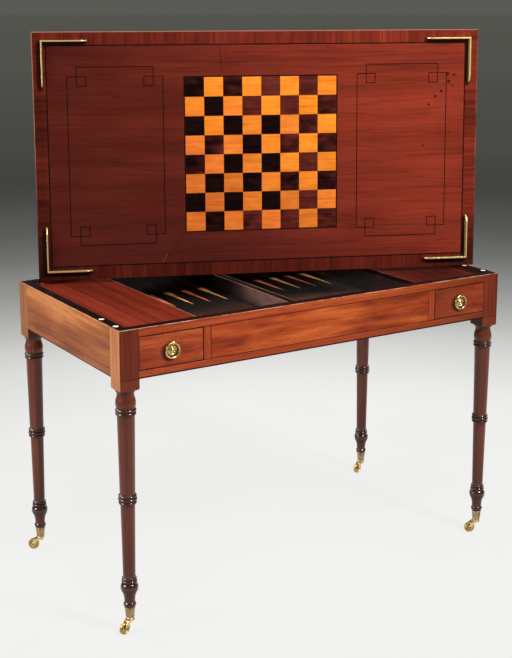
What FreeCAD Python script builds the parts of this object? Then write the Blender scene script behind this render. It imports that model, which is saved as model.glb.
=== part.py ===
import FreeCAD, Part
import Sketcher
import math
import os

V = FreeCAD.Vector
doc = FreeCAD.newDocument("games_table")

# ---------------------------------------------------------------------------
# Driving dimensions, in millimetres and degrees.
# Frame: X along the long side, front of the table towards -Y, Z up,
# origin on the floor under the middle of the frame.
# ---------------------------------------------------------------------------
sheet = doc.addObject("Spreadsheet::Sheet", "dims")
VALUES = [
    ("frame_length", 1084), ("frame_depth", 566), ("rim_height", 715),
    ("frieze_height", 114), ("post_size", 47), ("post_drop", 24),
    ("rail_thick", 25), ("top_rail", 20), ("low_rail", 19),
    ("tenon_long", 20), ("tenon_thick", 9),
    ("cap_lip", 2.5), ("cap_thick", 3),
    ("deck_drop", 10), ("deck_thick", 12),
    ("muntin_inner", 313), ("muntin_outer", 334),
    ("wall_inner", 319), ("wall_thick", 14),
    ("well_depth", 75), ("floor_thick", 10), ("lining_thick", 3),
    ("bar_width", 22), ("bar_height", 40), ("bar_line", 1.6),
    ("point_first", 39.4), ("point_pitch", 50.8), ("point_base", 18),
    ("point_length", 148), ("point_tip", 0.8), ("inlay_deep", 1),
    ("disc_dia", 13), ("disc_deep", 1.5), ("disc_x", 529),
    ("disc_y_outer", 240), ("disc_y_inner", 168),
    ("line_width", 1.5), ("line_deep", 1), ("edge_line", 2.2), ("post_line", 1.6),
    ("runner_high", 14), ("runner_wide", 18), ("guide_high", 20),
    ("bearer_high", 12), ("bearer_wide", 12),
    ("drawer_gap", 1), ("drawer_front_thick", 20), ("drawer_long", 470),
    ("drawer_side_thick", 9), ("drawer_side_high", 62), ("drawer_lift", 0.3),
    ("drawer_back_thick", 9), ("drawer_bottom_thick", 5), ("drawer_bottom_up", 3.7),
    ("tail_long", 12),
    ("pull_z", 655), ("ring_major", 16.8), ("ring_minor", 2.1), ("ring_stand", 5.6),
    ("eye_outer", 4.2), ("eye_hole", 2.65), ("eye_wide", 4), ("bolt_rad", 2.5),
    ("nut_rad", 5), ("nut_thick", 4),
    ("cup_low", 36), ("cup_top", 61), ("pin_rad", 3), ("pin_clear", 0.05),
    ("trail", 18.5), ("wheel_rad", 14), ("wheel_wide", 9), ("axle_rad", 1.75),
    ("cheek_in", 5.1), ("cheek_thick", 2.5),
    ("trail_fl", 200), ("trail_fr", 162), ("trail_bl", 148), ("trail_br", 199),
    ("lid_length", 1136), ("lid_width", 616), ("lid_thick", 19),
    ("skin", 1.2), ("band_width", 32), ("lid_line", 3.0), ("square_side", 48.5),
    ("panel_near", 248.5), ("panel_far", 485), ("panel_low", 86),
    ("panel_high", 529.5), ("panel_step", 23.5), ("panel_line", 2.2),
    ("brass_inset_u", 21.6), ("brass_inset_v", 20.6), ("brass_arm", 114),
    ("brass_thick", 3.4), ("brass_high", 12), ("brass_sunk", 3),
    ("lid_yaw", -22.2), ("lid_lean", 2.0), ("lid_x", 33.2), ("lid_y", 57.5),
    ("lid_gap", 0.3),
]
for i, (alias, value) in enumerate(VALUES, 1):
    sheet.set("A%d" % i, alias.replace("_", " "))
    sheet.set("B%d" % i, str(value))
    sheet.setAlias("B%d" % i, alias)
doc.recompute()
D = {alias: float(sheet.get(alias)) for alias, _ in VALUES}

# Expressions used again and again.
HL = "dims.frame_length/2"
HD = "dims.frame_depth/2"
RIM = "dims.rim_height"
LOW = "(dims.rim_height-dims.frieze_height)"
PI_X = "(dims.frame_length/2-dims.post_size)"      # inner face of the posts, along X
PI_Y = "(dims.frame_depth/2-dims.post_size)"       # inner face of the posts, along Y
RI_X = "(dims.frame_length/2-dims.rail_thick)"     # inner face of the end rails
RI_Y = "(dims.frame_depth/2-dims.rail_thick)"      # inner face of the front and back
DECK = "(dims.rim_height-dims.deck_drop)"
DECK_LOW = "(dims.rim_height-dims.deck_drop-dims.deck_thick)"
FLOOR = "(dims.rim_height-dims.well_depth)"
OPEN_LOW = "(dims.rim_height-dims.frieze_height+dims.low_rail)"
OPEN_TOP = "(dims.rim_height-dims.top_rail)"
WALL_I = "dims.wall_inner"
WALL_O = "(dims.wall_inner+dims.wall_thick)"
CAP_Z = "(dims.rim_height-dims.cap_thick)"

nodes = []
serial = [0]


def fresh(stem):
    serial[0] += 1
    return "%s_%03d" % (stem, serial[0])


def bind(obj, prop, expr):
    obj.setExpression(prop, str(expr))


def at(obj, x, y, z):
    for axis, e in zip("xyz", (x, y, z)):
        bind(obj, "Placement.Base." + axis, e)


def box(x0, x1, y0, y1, z0, z1, stem="block"):
    o = doc.addObject("Part::Box", fresh(stem))
    bind(o, "Length", "(%s)-(%s)" % (x1, x0))
    bind(o, "Width", "(%s)-(%s)" % (y1, y0))
    bind(o, "Height", "(%s)-(%s)" % (z1, z0))
    at(o, x0, y0, z0)
    return o


def span(sign, a, b):
    """The interval a..b on the positive side, or its mirror image."""
    return (a, b) if sign > 0 else ("-(%s)" % b, "-(%s)" % a)


def sbox(sx, xa, xb, sy, ya, yb, z0, z1, stem="block"):
    x0, x1 = span(sx, xa, xb)
    y0, y1 = span(sy, ya, yb)
    return box(x0, x1, y0, y1, z0, z1, stem)


def rod(radius, length, axis, x, y, z, stem="rod"):
    """A cylinder from (x, y, z) along +X, +Y or +Z."""
    o = doc.addObject("Part::Cylinder", fresh(stem))
    bind(o, "Radius", radius)
    bind(o, "Height", length)
    turn = {"x": FreeCAD.Rotation(V(0, 1, 0), 90),
            "y": FreeCAD.Rotation(V(1, 0, 0), -90),
            "z": FreeCAD.Rotation()}[axis]
    o.Placement = FreeCAD.Placement(V(0, 0, 0), turn)
    at(o, x, y, z)
    return o


def fuse(items, stem="joined"):
    o = doc.addObject("Part::MultiFuse", fresh(stem))
    o.Shapes = items
    return o


def group(items, stem="group"):
    o = doc.addObject("Part::Compound", fresh(stem))
    o.Links = items
    return o


def cut(base, tools, stem="cut"):
    o = doc.addObject("Part::Cut", fresh(stem))
    o.Base = base
    o.Tool = tools[0] if len(tools) == 1 else fuse(tools, stem + "_tools")
    return o


def common(a, b, stem="common"):
    o = doc.addObject("Part::Common", fresh(stem))
    o.Base = a
    o.Tool = b
    return o


def wedge(x0, x1, xt0, xt1, y0, y1, z0, z1, stem="wedge"):
    """A block whose X range goes from x0..x1 at y0 to xt0..xt1 at y1."""
    o = doc.addObject("Part::Wedge", fresh(stem))
    for prop, e in (("Xmin", x0), ("Xmax", x1), ("X2min", xt0), ("X2max", xt1),
                    ("Ymin", y0), ("Ymax", y1), ("Zmin", z0), ("Z2min", z0),
                    ("Zmax", z1), ("Z2max", z1)):
        bind(o, prop, e)
    return o


def plane_of(body, role):
    return [f for f in body.Origin.OriginFeatures if f.Role == role][0]


def circle_through(p, q, s):
    """Centre and radius of the circle through three points."""
    ax, ay, bx, by = q[0] - p[0], q[1] - p[1], s[0] - p[0], s[1] - p[1]
    d = 2 * (ax * by - ay * bx)
    ux = (by * (ax * ax + ay * ay) - ay * (bx * bx + by * by)) / d
    uy = (ax * (bx * bx + by * by) - bx * (ax * ax + ay * ay)) / d
    return V(p[0] + ux, p[1] + uy, 0), math.hypot(ux, uy)


def outline(body, role, path):
    """A closed sketch on an origin plane. path holds (x, y) for a straight
    line to that point, or (mx, my, x, y) for an arc through (mx, my)."""
    sk = body.newObject("Sketcher::SketchObject", fresh("sketch"))
    sk.AttachmentSupport = [(plane_of(body, role), "")]
    sk.MapMode = "FlatFace"
    here = path[0]
    for step in list(path[1:]) + [path[0]]:
        if len(step) == 4:
            c, r = circle_through(here, step[:2], step[2:])
            a0 = math.atan2(here[1] - c.y, here[0] - c.x)
            am = math.atan2(step[1] - c.y, step[0] - c.x)
            a1 = math.atan2(step[3] - c.y, step[2] - c.x)
            turn = 2 * math.pi
            if (am - a0) % turn <= (a1 - a0) % turn:
                lo, hi = a0, a0 + (a1 - a0) % turn
            else:
                lo, hi = a1, a1 + (a0 - a1) % turn
            sk.addGeometry(Part.ArcOfCircle(Part.Circle(c, V(0, 0, 1), r), lo, hi))
            here = (step[2], step[3])
        else:
            if math.hypot(step[0] - here[0], step[1] - here[1]) > 1e-7:
                sk.addGeometry(Part.LineSegment(V(here[0], here[1], 0),
                                                V(step[0], step[1], 0)))
            here = (step[0], step[1])
    return sk


def turned(path, stem="turned"):
    """A solid turned about Z from a half outline of (radius, height) steps."""
    body = doc.addObject("PartDesign::Body", fresh(stem))
    sk = outline(body, "XZ_Plane", path)
    rev = body.newObject("PartDesign::Revolution", fresh("revolution"))
    rev.Profile = sk
    rev.ReferenceAxis = (sk, ["V_Axis"])
    rev.Angle = 360
    return body


def padded(path, thick, role="XZ_Plane", stem="plate", both=False):
    """A plate of the outline's shape, thick as the expression says."""
    body = doc.addObject("PartDesign::Body", fresh(stem))
    sk = outline(body, role, path)
    pad = body.newObject("PartDesign::Pad", fresh("pad"))
    pad.Profile = sk
    bind(pad, "Length", thick)
    pad.Midplane = both
    return body


def keep(obj, label):
    obj.Label = label
    nodes.append((label, obj))
    return obj


# ---------------------------------------------------------------------------
# Legs: a square post with a turned leg below it, all in one piece of wood.
# ---------------------------------------------------------------------------
PZ = D["rim_height"] - D["frieze_height"] - D["post_drop"]      # foot of the post


def ring(r, z0, z1, bulge):
    """A half-round moulding between two heights on a shaft of radius r."""
    return (r + bulge, (z0 + z1) / 2.0, r, z1)


LEG = [
    (0, 40.5), (8.3, 40.5), (10.2, D["cup_top"]), (12.2, D["cup_top"]),
    (12.4, 62.6), (14.7, 67.2, 12.9, 72.2),                      # bead over the cup
    (12.3, 73.0), (13.0, 85.0, 16.0, 96.4),                      # hollow neck
    (19.3, 102.6, 20.4, 109.0), (19.6, 115.0, 16.2, 119.6),      # bulb
    (15.4, 120.2), (18.2, 124.0, 15.2, 127.8),                   # foot rings
    (17.0, 131.2, 14.8, 134.6), (14.2, 135.2),
    (14.3, 150.0), (16.4, 300.0), (16.7, 308.6),                 # lower shaft
    (18.0, 309.4), (20.6, 312.9, 18.2, 316.4),                   # middle rings
    (21.6, 320.8, 18.2, 325.2), (20.8, 328.7, 18.2, 332.2),
    (17.4, 333.0), (17.7, 348.0), (20.0, 513.5),                 # upper shaft
    (20.4, 516.6), (20.6, 517.0), (23.4, 521.0, 20.9, 525.0),    # upper rings
    (23.6, 529.0, 20.6, 533.0), (20.9, 533.6),
    (23.0, 545.0, 21.2, 556.0), (19.6, 563.0, 19.3, 568.0),      # vase
    (19.8, 570.2), (22.2, 572.2, 22.9, 575.4), (22.9, PZ),       # collar under the post
    (0, PZ),
]
SHOULDER = [(0, PZ - 4), (20.2, PZ - 4), (20.2, PZ), (29.0, PZ), (32.4, PZ + 1.2, 33.5, PZ + 4.6),
            (34, PZ + 6), (34, D["rim_height"] + 1), (0, D["rim_height"] + 1)]
line_cells = []      # string inlays let into the frieze


def string(x0, x1, y0, y1, z0, z1):
    b = box(x0, x1, y0, y1, z0, z1, "string")
    line_cells.append(b)
    return b


def leg(label, sx, sy):
    ax = sx * (D["frame_length"] / 2 - D["post_size"] / 2)
    ay = sy * (D["frame_depth"] / 2 - D["post_size"] / 2)
    shaft = turned(LEG, "shaft")
    shaft.Placement = FreeCAD.Placement(V(ax, ay, 0), FreeCAD.Rotation())
    shoulder = turned(SHOULDER, "shoulder")
    shoulder.Placement = FreeCAD.Placement(V(ax, ay, 0), FreeCAD.Rotation())
    post = sbox(sx, PI_X, HL, sy, PI_Y, HD,
                LOW + "-dims.post_drop-4", RIM, "post")
    post_top = common(post, shoulder, "post_turned")
    whole = fuse([shaft, post_top], "leg")
    tools = [
        # bed of the capping, behind a thin lip on the two outer edges
        sbox(sx, PI_X + "-1", HL + "-dims.cap_lip", sy, PI_Y + "-1",
             HD + "-dims.cap_lip", CAP_Z, RIM + "+1", "bed"),
        # the deck runs over the inner quarter of the post
        sbox(sx, PI_X + "-1", RI_X, sy, PI_Y + "-1", RI_Y, DECK_LOW, RIM + "+1",
             "deck_notch"),
        # mortise for the end rail
        sbox(sx, RI_X + "+8", RI_X + "+8+dims.tenon_thick", sy, PI_Y + "-1",
             PI_Y + "+dims.tenon_long", LOW + "+11", RIM + "-25", "mortise"),
        # bored up from the foot for the castor's pivot
        rod("5", "48-30", "z", ax, ay, "30", "bore"),
    ]
    if sy > 0:
        tools.append(sbox(sx, PI_X + "-1", PI_X + "+dims.tenon_long", sy,
                          RI_Y + "+8", RI_Y + "+8+dims.tenon_thick",
                          LOW + "+11", RIM + "-25", "mortise"))
    else:
        for z0, z1 in ((OPEN_TOP + "+3", RIM + "-6"), (LOW + "+3", OPEN_LOW + "-3")):
            tools.append(sbox(sx, PI_X + "-1", PI_X + "+dims.tenon_long", sy,
                              RI_Y + "+8", RI_Y + "+8+dims.tenon_thick",
                              z0, z1, "mortise"))
        # the line along the foot of the frieze runs on over the post
        x0, x1 = span(sx, PI_X, HL)
        tools.append(string(x0, x1, "-" + HD, "-%s+dims.line_deep" % HD, LOW,
                            LOW + "+dims.post_line"))
    keep(cut(whole, tools, "leg_cut"), label)


leg("leg_front_left", -1, -1)
leg("leg_front_right", 1, -1)
leg("leg_back_left", -1, 1)
leg("leg_back_right", 1, 1)

# ---------------------------------------------------------------------------
# Rails, muntins and the fixed middle panel of the front.
# ---------------------------------------------------------------------------
for sx, label in ((-1, "end_rail_left"), (1, "end_rail_right")):
    body = sbox(sx, RI_X, HL, 1, "-(%s)" % PI_Y, PI_Y, LOW, RIM, "end_rail")
    t1 = sbox(sx, RI_X + "+8", RI_X + "+8+dims.tenon_thick", 1, PI_Y + "-5",
              PI_Y + "+dims.tenon_long", LOW + "+11", RIM + "-25", "tenon")
    t2 = sbox(sx, RI_X + "+8", RI_X + "+8+dims.tenon_thick", -1, PI_Y + "-5",
              PI_Y + "+dims.tenon_long", LOW + "+11", RIM + "-25", "tenon")
    bed = sbox(sx, RI_X + "-1", HL + "-dims.cap_lip", 1, "-(%s)-1" % PI_Y, PI_Y + "+1",
               CAP_Z, RIM + "+1", "bed")
    x0, x1 = span(sx, HL + "-dims.line_deep", HL)
    s1 = string(x0, x1, "-(%s)" % PI_Y, PI_Y, OPEN_LOW + "-dims.line_width", OPEN_LOW)
    s2 = string(x0, x1, "-(%s)" % PI_Y, PI_Y, LOW, LOW + "+dims.edge_line")
    keep(cut(fuse([body, t1, t2], "end_rail"), [bed, s1, s2], "end_rail_cut"), label)

body = box("-" + PI_X, PI_X, RI_Y, HD, LOW, RIM, "back_rail")
tenons = [sbox(sx, PI_X + "-5", PI_X + "+dims.tenon_long", 1, RI_Y + "+8",
               RI_Y + "+8+dims.tenon_thick", LOW + "+11", RIM + "-25", "tenon")
          for sx in (-1, 1)]
bed = box("-%s-1" % PI_X, PI_X + "+1", RI_Y + "-1", HD + "-dims.cap_lip", CAP_Z,
          RIM + "+1", "bed")
Y0, Y1 = HD + "-dims.line_deep", HD
s1 = string("-" + PI_X, PI_X, Y0, Y1, OPEN_LOW + "-dims.line_width", OPEN_LOW)
s2 = string("-" + PI_X, PI_X, Y0, Y1, OPEN_TOP, OPEN_TOP + "+dims.line_width")
s3 = string("-" + PI_X, PI_X, Y0, Y1, LOW, LOW + "+dims.edge_line")
keep(cut(fuse([body] + tenons, "back_rail"), [bed, s1, s2, s3], "back_rail_cut"),
     "back_rail")

FY0, FY1 = "-" + HD, "-" + RI_Y
SY0, SY1 = "-" + HD, "-%s+dims.line_deep" % HD
body = box("-" + PI_X, PI_X, FY0, FY1, OPEN_TOP, RIM, "top_rail")
tenons = [sbox(sx, PI_X + "-5", PI_X + "+dims.tenon_long", -1, RI_Y + "+8",
               RI_Y + "+8+dims.tenon_thick", OPEN_TOP + "+3", RIM + "-6", "tenon")
          for sx in (-1, 1)]
bed = box("-%s-1" % PI_X, PI_X + "+1", "-%s+dims.cap_lip" % HD, FY1 + "+1", CAP_Z,
          RIM + "+1", "bed")
s1 = string("-" + PI_X, PI_X, SY0, SY1, OPEN_TOP, OPEN_TOP + "+dims.line_width")
keep(cut(fuse([body] + tenons, "top_rail"), [bed, s1], "top_rail_cut"), "front_top_rail")

body = box("-" + PI_X, PI_X, FY0, FY1, LOW, OPEN_LOW, "bottom_rail")
tenons = [sbox(sx, PI_X + "-5", PI_X + "+dims.tenon_long", -1, RI_Y + "+8",
               RI_Y + "+8+dims.tenon_thick", LOW + "+3", OPEN_LOW + "-3", "tenon")
          for sx in (-1, 1)]
s1 = string("-" + PI_X, PI_X, SY0, SY1, OPEN_LOW + "-dims.line_width", OPEN_LOW)
s2 = string("-" + PI_X, PI_X, SY0, SY1, LOW, LOW + "+dims.edge_line")
keep(cut(fuse([body] + tenons, "bottom_rail"), [s1, s2], "bottom_rail_cut"),
     "front_bottom_rail")

keep(box("-dims.muntin_inner", "dims.muntin_inner", FY0, FY1, OPEN_LOW, OPEN_TOP,
         "centre_panel"), "front_centre_panel")

muntins = []
for sx in (-1, 1):
    m = sbox(sx, "dims.muntin_inner", "dims.muntin_outer", -1, RI_Y, HD, OPEN_LOW,
             OPEN_TOP, "muntin")
    a0, a1 = span(sx, "dims.muntin_inner", "dims.muntin_inner+dims.line_width")
    b0, b1 = span(sx, "dims.muntin_outer-dims.line_width", "dims.muntin_outer")
    s1 = string(a0, a1, SY0, SY1, OPEN_LOW, OPEN_TOP)
    s2 = string(b0, b1, SY0, SY1, OPEN_LOW, OPEN_TOP)
    muntins.append(cut(m, [s1, s2], "muntin_cut"))
keep(group(muntins, "muntins"), "front_muntins")
keep(group(line_cells, "strings"), "frieze_stringing")

# ---------------------------------------------------------------------------
# Ebonised rim capping, mitred, with bone discs let into the two ends.
# ---------------------------------------------------------------------------
CO_X, CO_Y = HL + "-dims.cap_lip", HD + "-dims.cap_lip"
front_cap = wedge("-(%s)" % CO_X, CO_X, "-" + RI_X, RI_X, "-(%s)" % CO_Y, "-" + RI_Y,
                  CAP_Z, RIM, "cap")
back_cap = wedge("-" + RI_X, RI_X, "-(%s)" % CO_X, CO_X, RI_Y, CO_Y, CAP_Z, RIM, "cap")
discs, caps = [], [front_cap, back_cap]
for sx in (-1, 1):
    # drawn along the length of the end and turned a quarter round
    strip = wedge("-(%s)" % CO_Y, CO_Y, "-" + RI_Y, RI_Y, "-(%s)" % CO_X, "-" + RI_X,
                  CAP_Z, RIM, "cap")
    strip.Placement = FreeCAD.Placement(V(0, 0, 0),
                                        FreeCAD.Rotation(V(0, 0, 1), -90 * -sx))
    mine = []
    for yy in ("dims.disc_y_outer", "dims.disc_y_inner"):
        x = "dims.disc_x" if sx > 0 else "-dims.disc_x"
        mine.append(rod("dims.disc_dia/2", "dims.disc_deep", "z", x, "-" + yy,
                        RIM + "-dims.disc_deep", "disc"))
    discs += mine
    caps.append(cut(strip, mine, "cap_cut"))
keep(group(caps, "capping"), "rim_capping")
keep(group(discs, "discs"), "rim_bone_discs")

# ---------------------------------------------------------------------------
# Decks over the drawers, and the well between them.
# ---------------------------------------------------------------------------
keep(group([sbox(sx, WALL_I, RI_X, 1, "-" + RI_Y, RI_Y, DECK_LOW, DECK, "deck")
            for sx in (-1, 1)], "decks"), "end_decks")
keep(group([sbox(sx, WALL_I, WALL_O, 1, "-" + RI_Y, RI_Y, LOW, DECK_LOW, "wall")
            for sx in (-1, 1)], "walls"), "well_side_walls")

LIN = "(%s-dims.lining_thick)" % RI_Y
points = {"light": [], "red": []}
for sy in (-1, 1):
    for half in (-1, 1):
        for k in range(6):
            x = half * (D["point_first"] + k * D["point_pitch"])
            xe = "%d*(dims.point_first+%d*dims.point_pitch)" % (half, k)
            w = wedge("-dims.point_base/2", "dims.point_base/2", "-dims.point_tip/2",
                      "dims.point_tip/2", "0", "dims.point_length",
                      "-dims.inlay_deep", "0", "point")
            w.Placement = FreeCAD.Placement(
                V(0, 0, 0), FreeCAD.Rotation(V(0, 0, 1), 180 if sy > 0 else 0))
            at(w, xe, LIN if sy > 0 else "-" + LIN, FLOOR)
            # along the back wall the row runs red, light, red ... from the left
            order = k if half > 0 else 5 - k
            red = order % 2 == 0 if sy > 0 else order % 2 == 1
            points["red" if red else "light"].append(w)
floor_board = box("-" + WALL_I, WALL_I, "-" + RI_Y, RI_Y, FLOOR + "-dims.floor_thick",
                  FLOOR, "floor")
light = group(points["light"], "points_light")
red = group(points["red"], "points_red")
keep(cut(cut(floor_board, [light], "floor_cut"), [red], "floor_cut"), "well_floor")
keep(light, "well_points_light")
keep(red, "well_points_red")

keep(group([box("-" + WALL_I, WALL_I, LIN, RI_Y, FLOOR, RIM, "lining"),
            box("-" + WALL_I, WALL_I, "-" + RI_Y, "-" + LIN, FLOOR, RIM, "lining")],
           "linings"), "well_linings")

bar = box("-dims.bar_width/2", "dims.bar_width/2", "-" + LIN, LIN, FLOOR,
          FLOOR + "+dims.bar_height", "bar")
edges = [sbox(sx, "dims.bar_width/2-dims.bar_line", "dims.bar_width/2", 1, "-" + LIN,
              LIN, FLOOR + "+dims.bar_height-dims.bar_line",
              FLOOR + "+dims.bar_height", "bar_line") for sx in (-1, 1)]
keep(cut(bar, edges, "bar_cut"), "well_bar")
keep(group(edges, "bar_lines"), "well_bar_stringing")

bearers = []
for sy in (-1, 1):
    y0, y1 = span(sy, RI_Y + "-dims.bearer_wide", RI_Y)
    bearers.append(box("-" + WALL_I, WALL_I, y0, y1,
                       FLOOR + "-dims.floor_thick-dims.bearer_high",
                       FLOOR + "-dims.floor_thick", "bearer"))
for sx in (-1, 1):
    bearers.append(sbox(sx, RI_X + "-dims.bearer_wide", RI_X, 1, "-" + PI_Y, PI_Y,
                        DECK_LOW + "-dims.bearer_high", DECK_LOW, "bearer"))
keep(group(bearers, "bearers"), "deck_and_floor_bearers")

runners = []
for sx in (-1, 1):
    runners.append(sbox(sx, WALL_O, WALL_O + "+dims.runner_wide", 1, "-" + RI_Y, RI_Y,
                        OPEN_LOW + "-dims.runner_high", OPEN_LOW, "runner"))
    runners.append(sbox(sx, PI_X + "-1-dims.runner_wide", PI_X + "-1", 1, "-" + RI_Y,
                        RI_Y, OPEN_LOW + "-dims.runner_high", OPEN_LOW, "runner"))
    runners.append(sbox(sx, PI_X, RI_X, 1, "-" + PI_Y, PI_Y, OPEN_LOW,
                        OPEN_LOW + "+dims.guide_high", "guide"))
keep(group(runners, "runners"), "drawer_runners_and_guides")

# ---------------------------------------------------------------------------
# Drawers, each with a turned rosette and a hanging ring.
# ---------------------------------------------------------------------------
DX0 = "(dims.muntin_outer+dims.drawer_gap)"
DX1 = "(dims.frame_length/2-dims.post_size-dims.drawer_gap)"
DXC = "((%s+%s)/2)" % (DX0, DX1)
DFB = "(-dims.frame_depth/2+dims.drawer_front_thick)"      # back of the drawer front
DEND = "(-dims.frame_depth/2+dims.drawer_long)"
DZ0 = OPEN_LOW + "+dims.drawer_gap"
DZ1 = OPEN_TOP + "-dims.drawer_gap"
DS0 = OPEN_LOW + "+dims.drawer_lift"
DB0 = OPEN_LOW + "+dims.drawer_bottom_up"
DIN0 = DX0 + "+dims.drawer_side_thick"
DIN1 = DX1 + "-dims.drawer_side_thick"

fb = -D["frame_depth"] / 2 + D["drawer_front_thick"]
de = -D["frame_depth"] / 2 + D["drawer_long"]
s0 = D["rim_height"] - D["frieze_height"] + D["low_rail"] + D["drawer_lift"]
s1z = s0 + D["drawer_side_high"]
SIDE = [(de, s0), (de, s1z), (fb, s1z)]
mid = [s0 + D["drawer_side_high"] * f for f in (0.80, 0.50, 0.20)]
for zc in mid:
    SIDE += [(fb, zc + 6), (fb - D["tail_long"], zc + 8.5),
             (fb - D["tail_long"], zc - 8.5), (fb, zc - 6)]
SIDE += [(fb, s0)]

ROSETTE = [(0, 0), (12.4, 0), (12.4, 1.2), (11.9, 2.2, 10.7, 2.5), (10.1, 2.0),
           (9.4, 2.2), (8.5, 3.4, 7.5, 2.7), (6.8, 2.5), (6.2, 3.0),
           (5.2, 4.4, 4.2, 4.3), (3.8, 4.0), (3.4, 4.8), (2.6, 5.4), (1.5, 5.75),
           (0, 5.85)]

for sx, side in ((-1, "left"), (1, "right")):
    xs = [span(sx, DX0, DIN0), span(sx, DIN1, DX1)]
    sides = []
    for x0, x1 in xs:
        p = padded(SIDE, "dims.drawer_side_thick", "YZ_Plane", "drawer_side")
        at(p, x0, "0", "0")
        sides.append(p)
    x0, x1 = span(sx, DX0, DX1)
    xc = DXC if sx > 0 else "-" + DXC
    blank = box(x0, x1, "-" + HD, DFB, DZ0, DZ1, "drawer_front")
    hole = rod("dims.bolt_rad", "dims.drawer_front_thick+2", "y", xc,
               "-%s-1" % HD, "dims.pull_z", "bolt_hole")
    keep(cut(blank, sides + [hole], "drawer_front_cut"), "drawer_%s_front" % side)
    keep(group(sides, "drawer_sides"), "drawer_%s_sides" % side)
    x0, x1 = span(sx, DIN0, DIN1)
    keep(box(x0, x1, DEND + "-dims.drawer_back_thick", DEND,
             DB0 + "+dims.drawer_bottom_thick", DS0 + "+dims.drawer_side_high-3",
             "drawer_back"), "drawer_%s_back" % side)
    keep(box(x0, x1, DFB, DEND, DB0, DB0 + "+dims.drawer_bottom_thick",
             "drawer_bottom"), "drawer_%s_bottom" % side)

    # rosette with an eye at its top for the ring
    plate = turned(ROSETTE, "rosette")
    plate.Placement = FreeCAD.Placement(V(0, 0, 0), FreeCAD.Rotation(V(1, 0, 0), 90))
    at(plate, xc, "-" + HD, "dims.pull_z")
    ez = "dims.pull_z+dims.ring_major"
    ey = "-%s-dims.ring_stand" % HD
    eye = rod("dims.eye_outer", "dims.eye_wide", "x", xc + "-dims.eye_wide/2", ey, ez,
              "eye")
    neck = box(xc + "-dims.eye_wide/2", xc + "+dims.eye_wide/2", ey, "-" + HD,
               ez + "-3.2", ez + "+3.2", "neck")
    tab = box(xc + "-3", xc + "+3", "-%s-1.8" % HD, "-" + HD, ez + "-7", ez, "tab")
    bore = rod("dims.eye_hole", "dims.eye_wide+4", "x", xc + "-dims.eye_wide/2-2", ey,
               ez, "eye_bore")
    clear = rod("dims.bolt_rad", "3", "y", xc, "-%s-3" % HD, "dims.pull_z", "bolt_seat")
    casting = fuse([plate, eye, neck, tab], "plate")
    keep(cut(casting, [bore, clear], "plate_cut"), "pull_%s_plate" % side)

    shank = rod("dims.bolt_rad", "dims.drawer_front_thick+dims.nut_thick+3", "y", xc,
                "-%s-3" % HD, "dims.pull_z", "shank")
    nut = rod("dims.nut_rad", "dims.nut_thick", "y", xc, DFB, "dims.pull_z", "nut")
    keep(fuse([shank, nut], "bolt"), "pull_%s_bolt" % side)

    hoop = doc.addObject("Part::Torus", fresh("ring"))
    bind(hoop, "Radius1", "dims.ring_major")
    bind(hoop, "Radius2", "dims.ring_minor")
    hoop.Placement = FreeCAD.Placement(V(0, 0, 0), FreeCAD.Rotation(V(1, 0, 0), 90))
    at(hoop, xc, ey, "dims.pull_z")
    keep(hoop, "pull_%s_ring" % side)

# ---------------------------------------------------------------------------
# Castors: a brass cup on each foot, a horn that swivels in it, and a wheel.
# ---------------------------------------------------------------------------
CL, CT = D["cup_low"], D["cup_top"]
PB = D["pin_rad"] + D["pin_clear"]
CUP = [(PB, CL), (9.4, CL), (9.9, CL + 0.6), (10.3, CL + 6), (11.7, CT - 3.2),
       (12.6, CT - 1.6, 12.2, CT), (10.2, CT), (8.3, 40.5), (PB, 40.5)]
PLATE = [(0, 31), (8.4, 31), (9.0, 31.8), (9.0, 34.6), (8.2, CL - 0.3),
         (D["pin_rad"], CL - 0.3), (D["pin_rad"], 46.4), (2.4, 47.0), (0, 47.0)]
W, WR, TR = D["wheel_wide"] / 2, D["wheel_rad"], D["trail"]
WHEEL = [(D["axle_rad"] + 0.05, -W + 0.2), (4.4, -W + 0.2), (5.0, -W + 0.9),
         (9.8, -W + 1.3), (10.6, -W + 0.3), (WR - 1.6, -W), (WR, -W + 2.2),
         (WR + 0.0, W - 2.2), (WR - 1.6, W), (10.6, W - 0.3), (9.8, W - 1.3),
         (5.0, W - 0.9), (4.4, W - 0.2), (D["axle_rad"] + 0.05, W - 0.2)]
CHEEK = [(-7.0, 31.5), (-7.4, 28.6), (-4.0, 27.2), (9.0, 23.4, TR - 4.2, WR),
         (TR, WR - 4.2, TR + 4.2, WR), (18.6, 25.0, 5.0, 31.5)]

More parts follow.
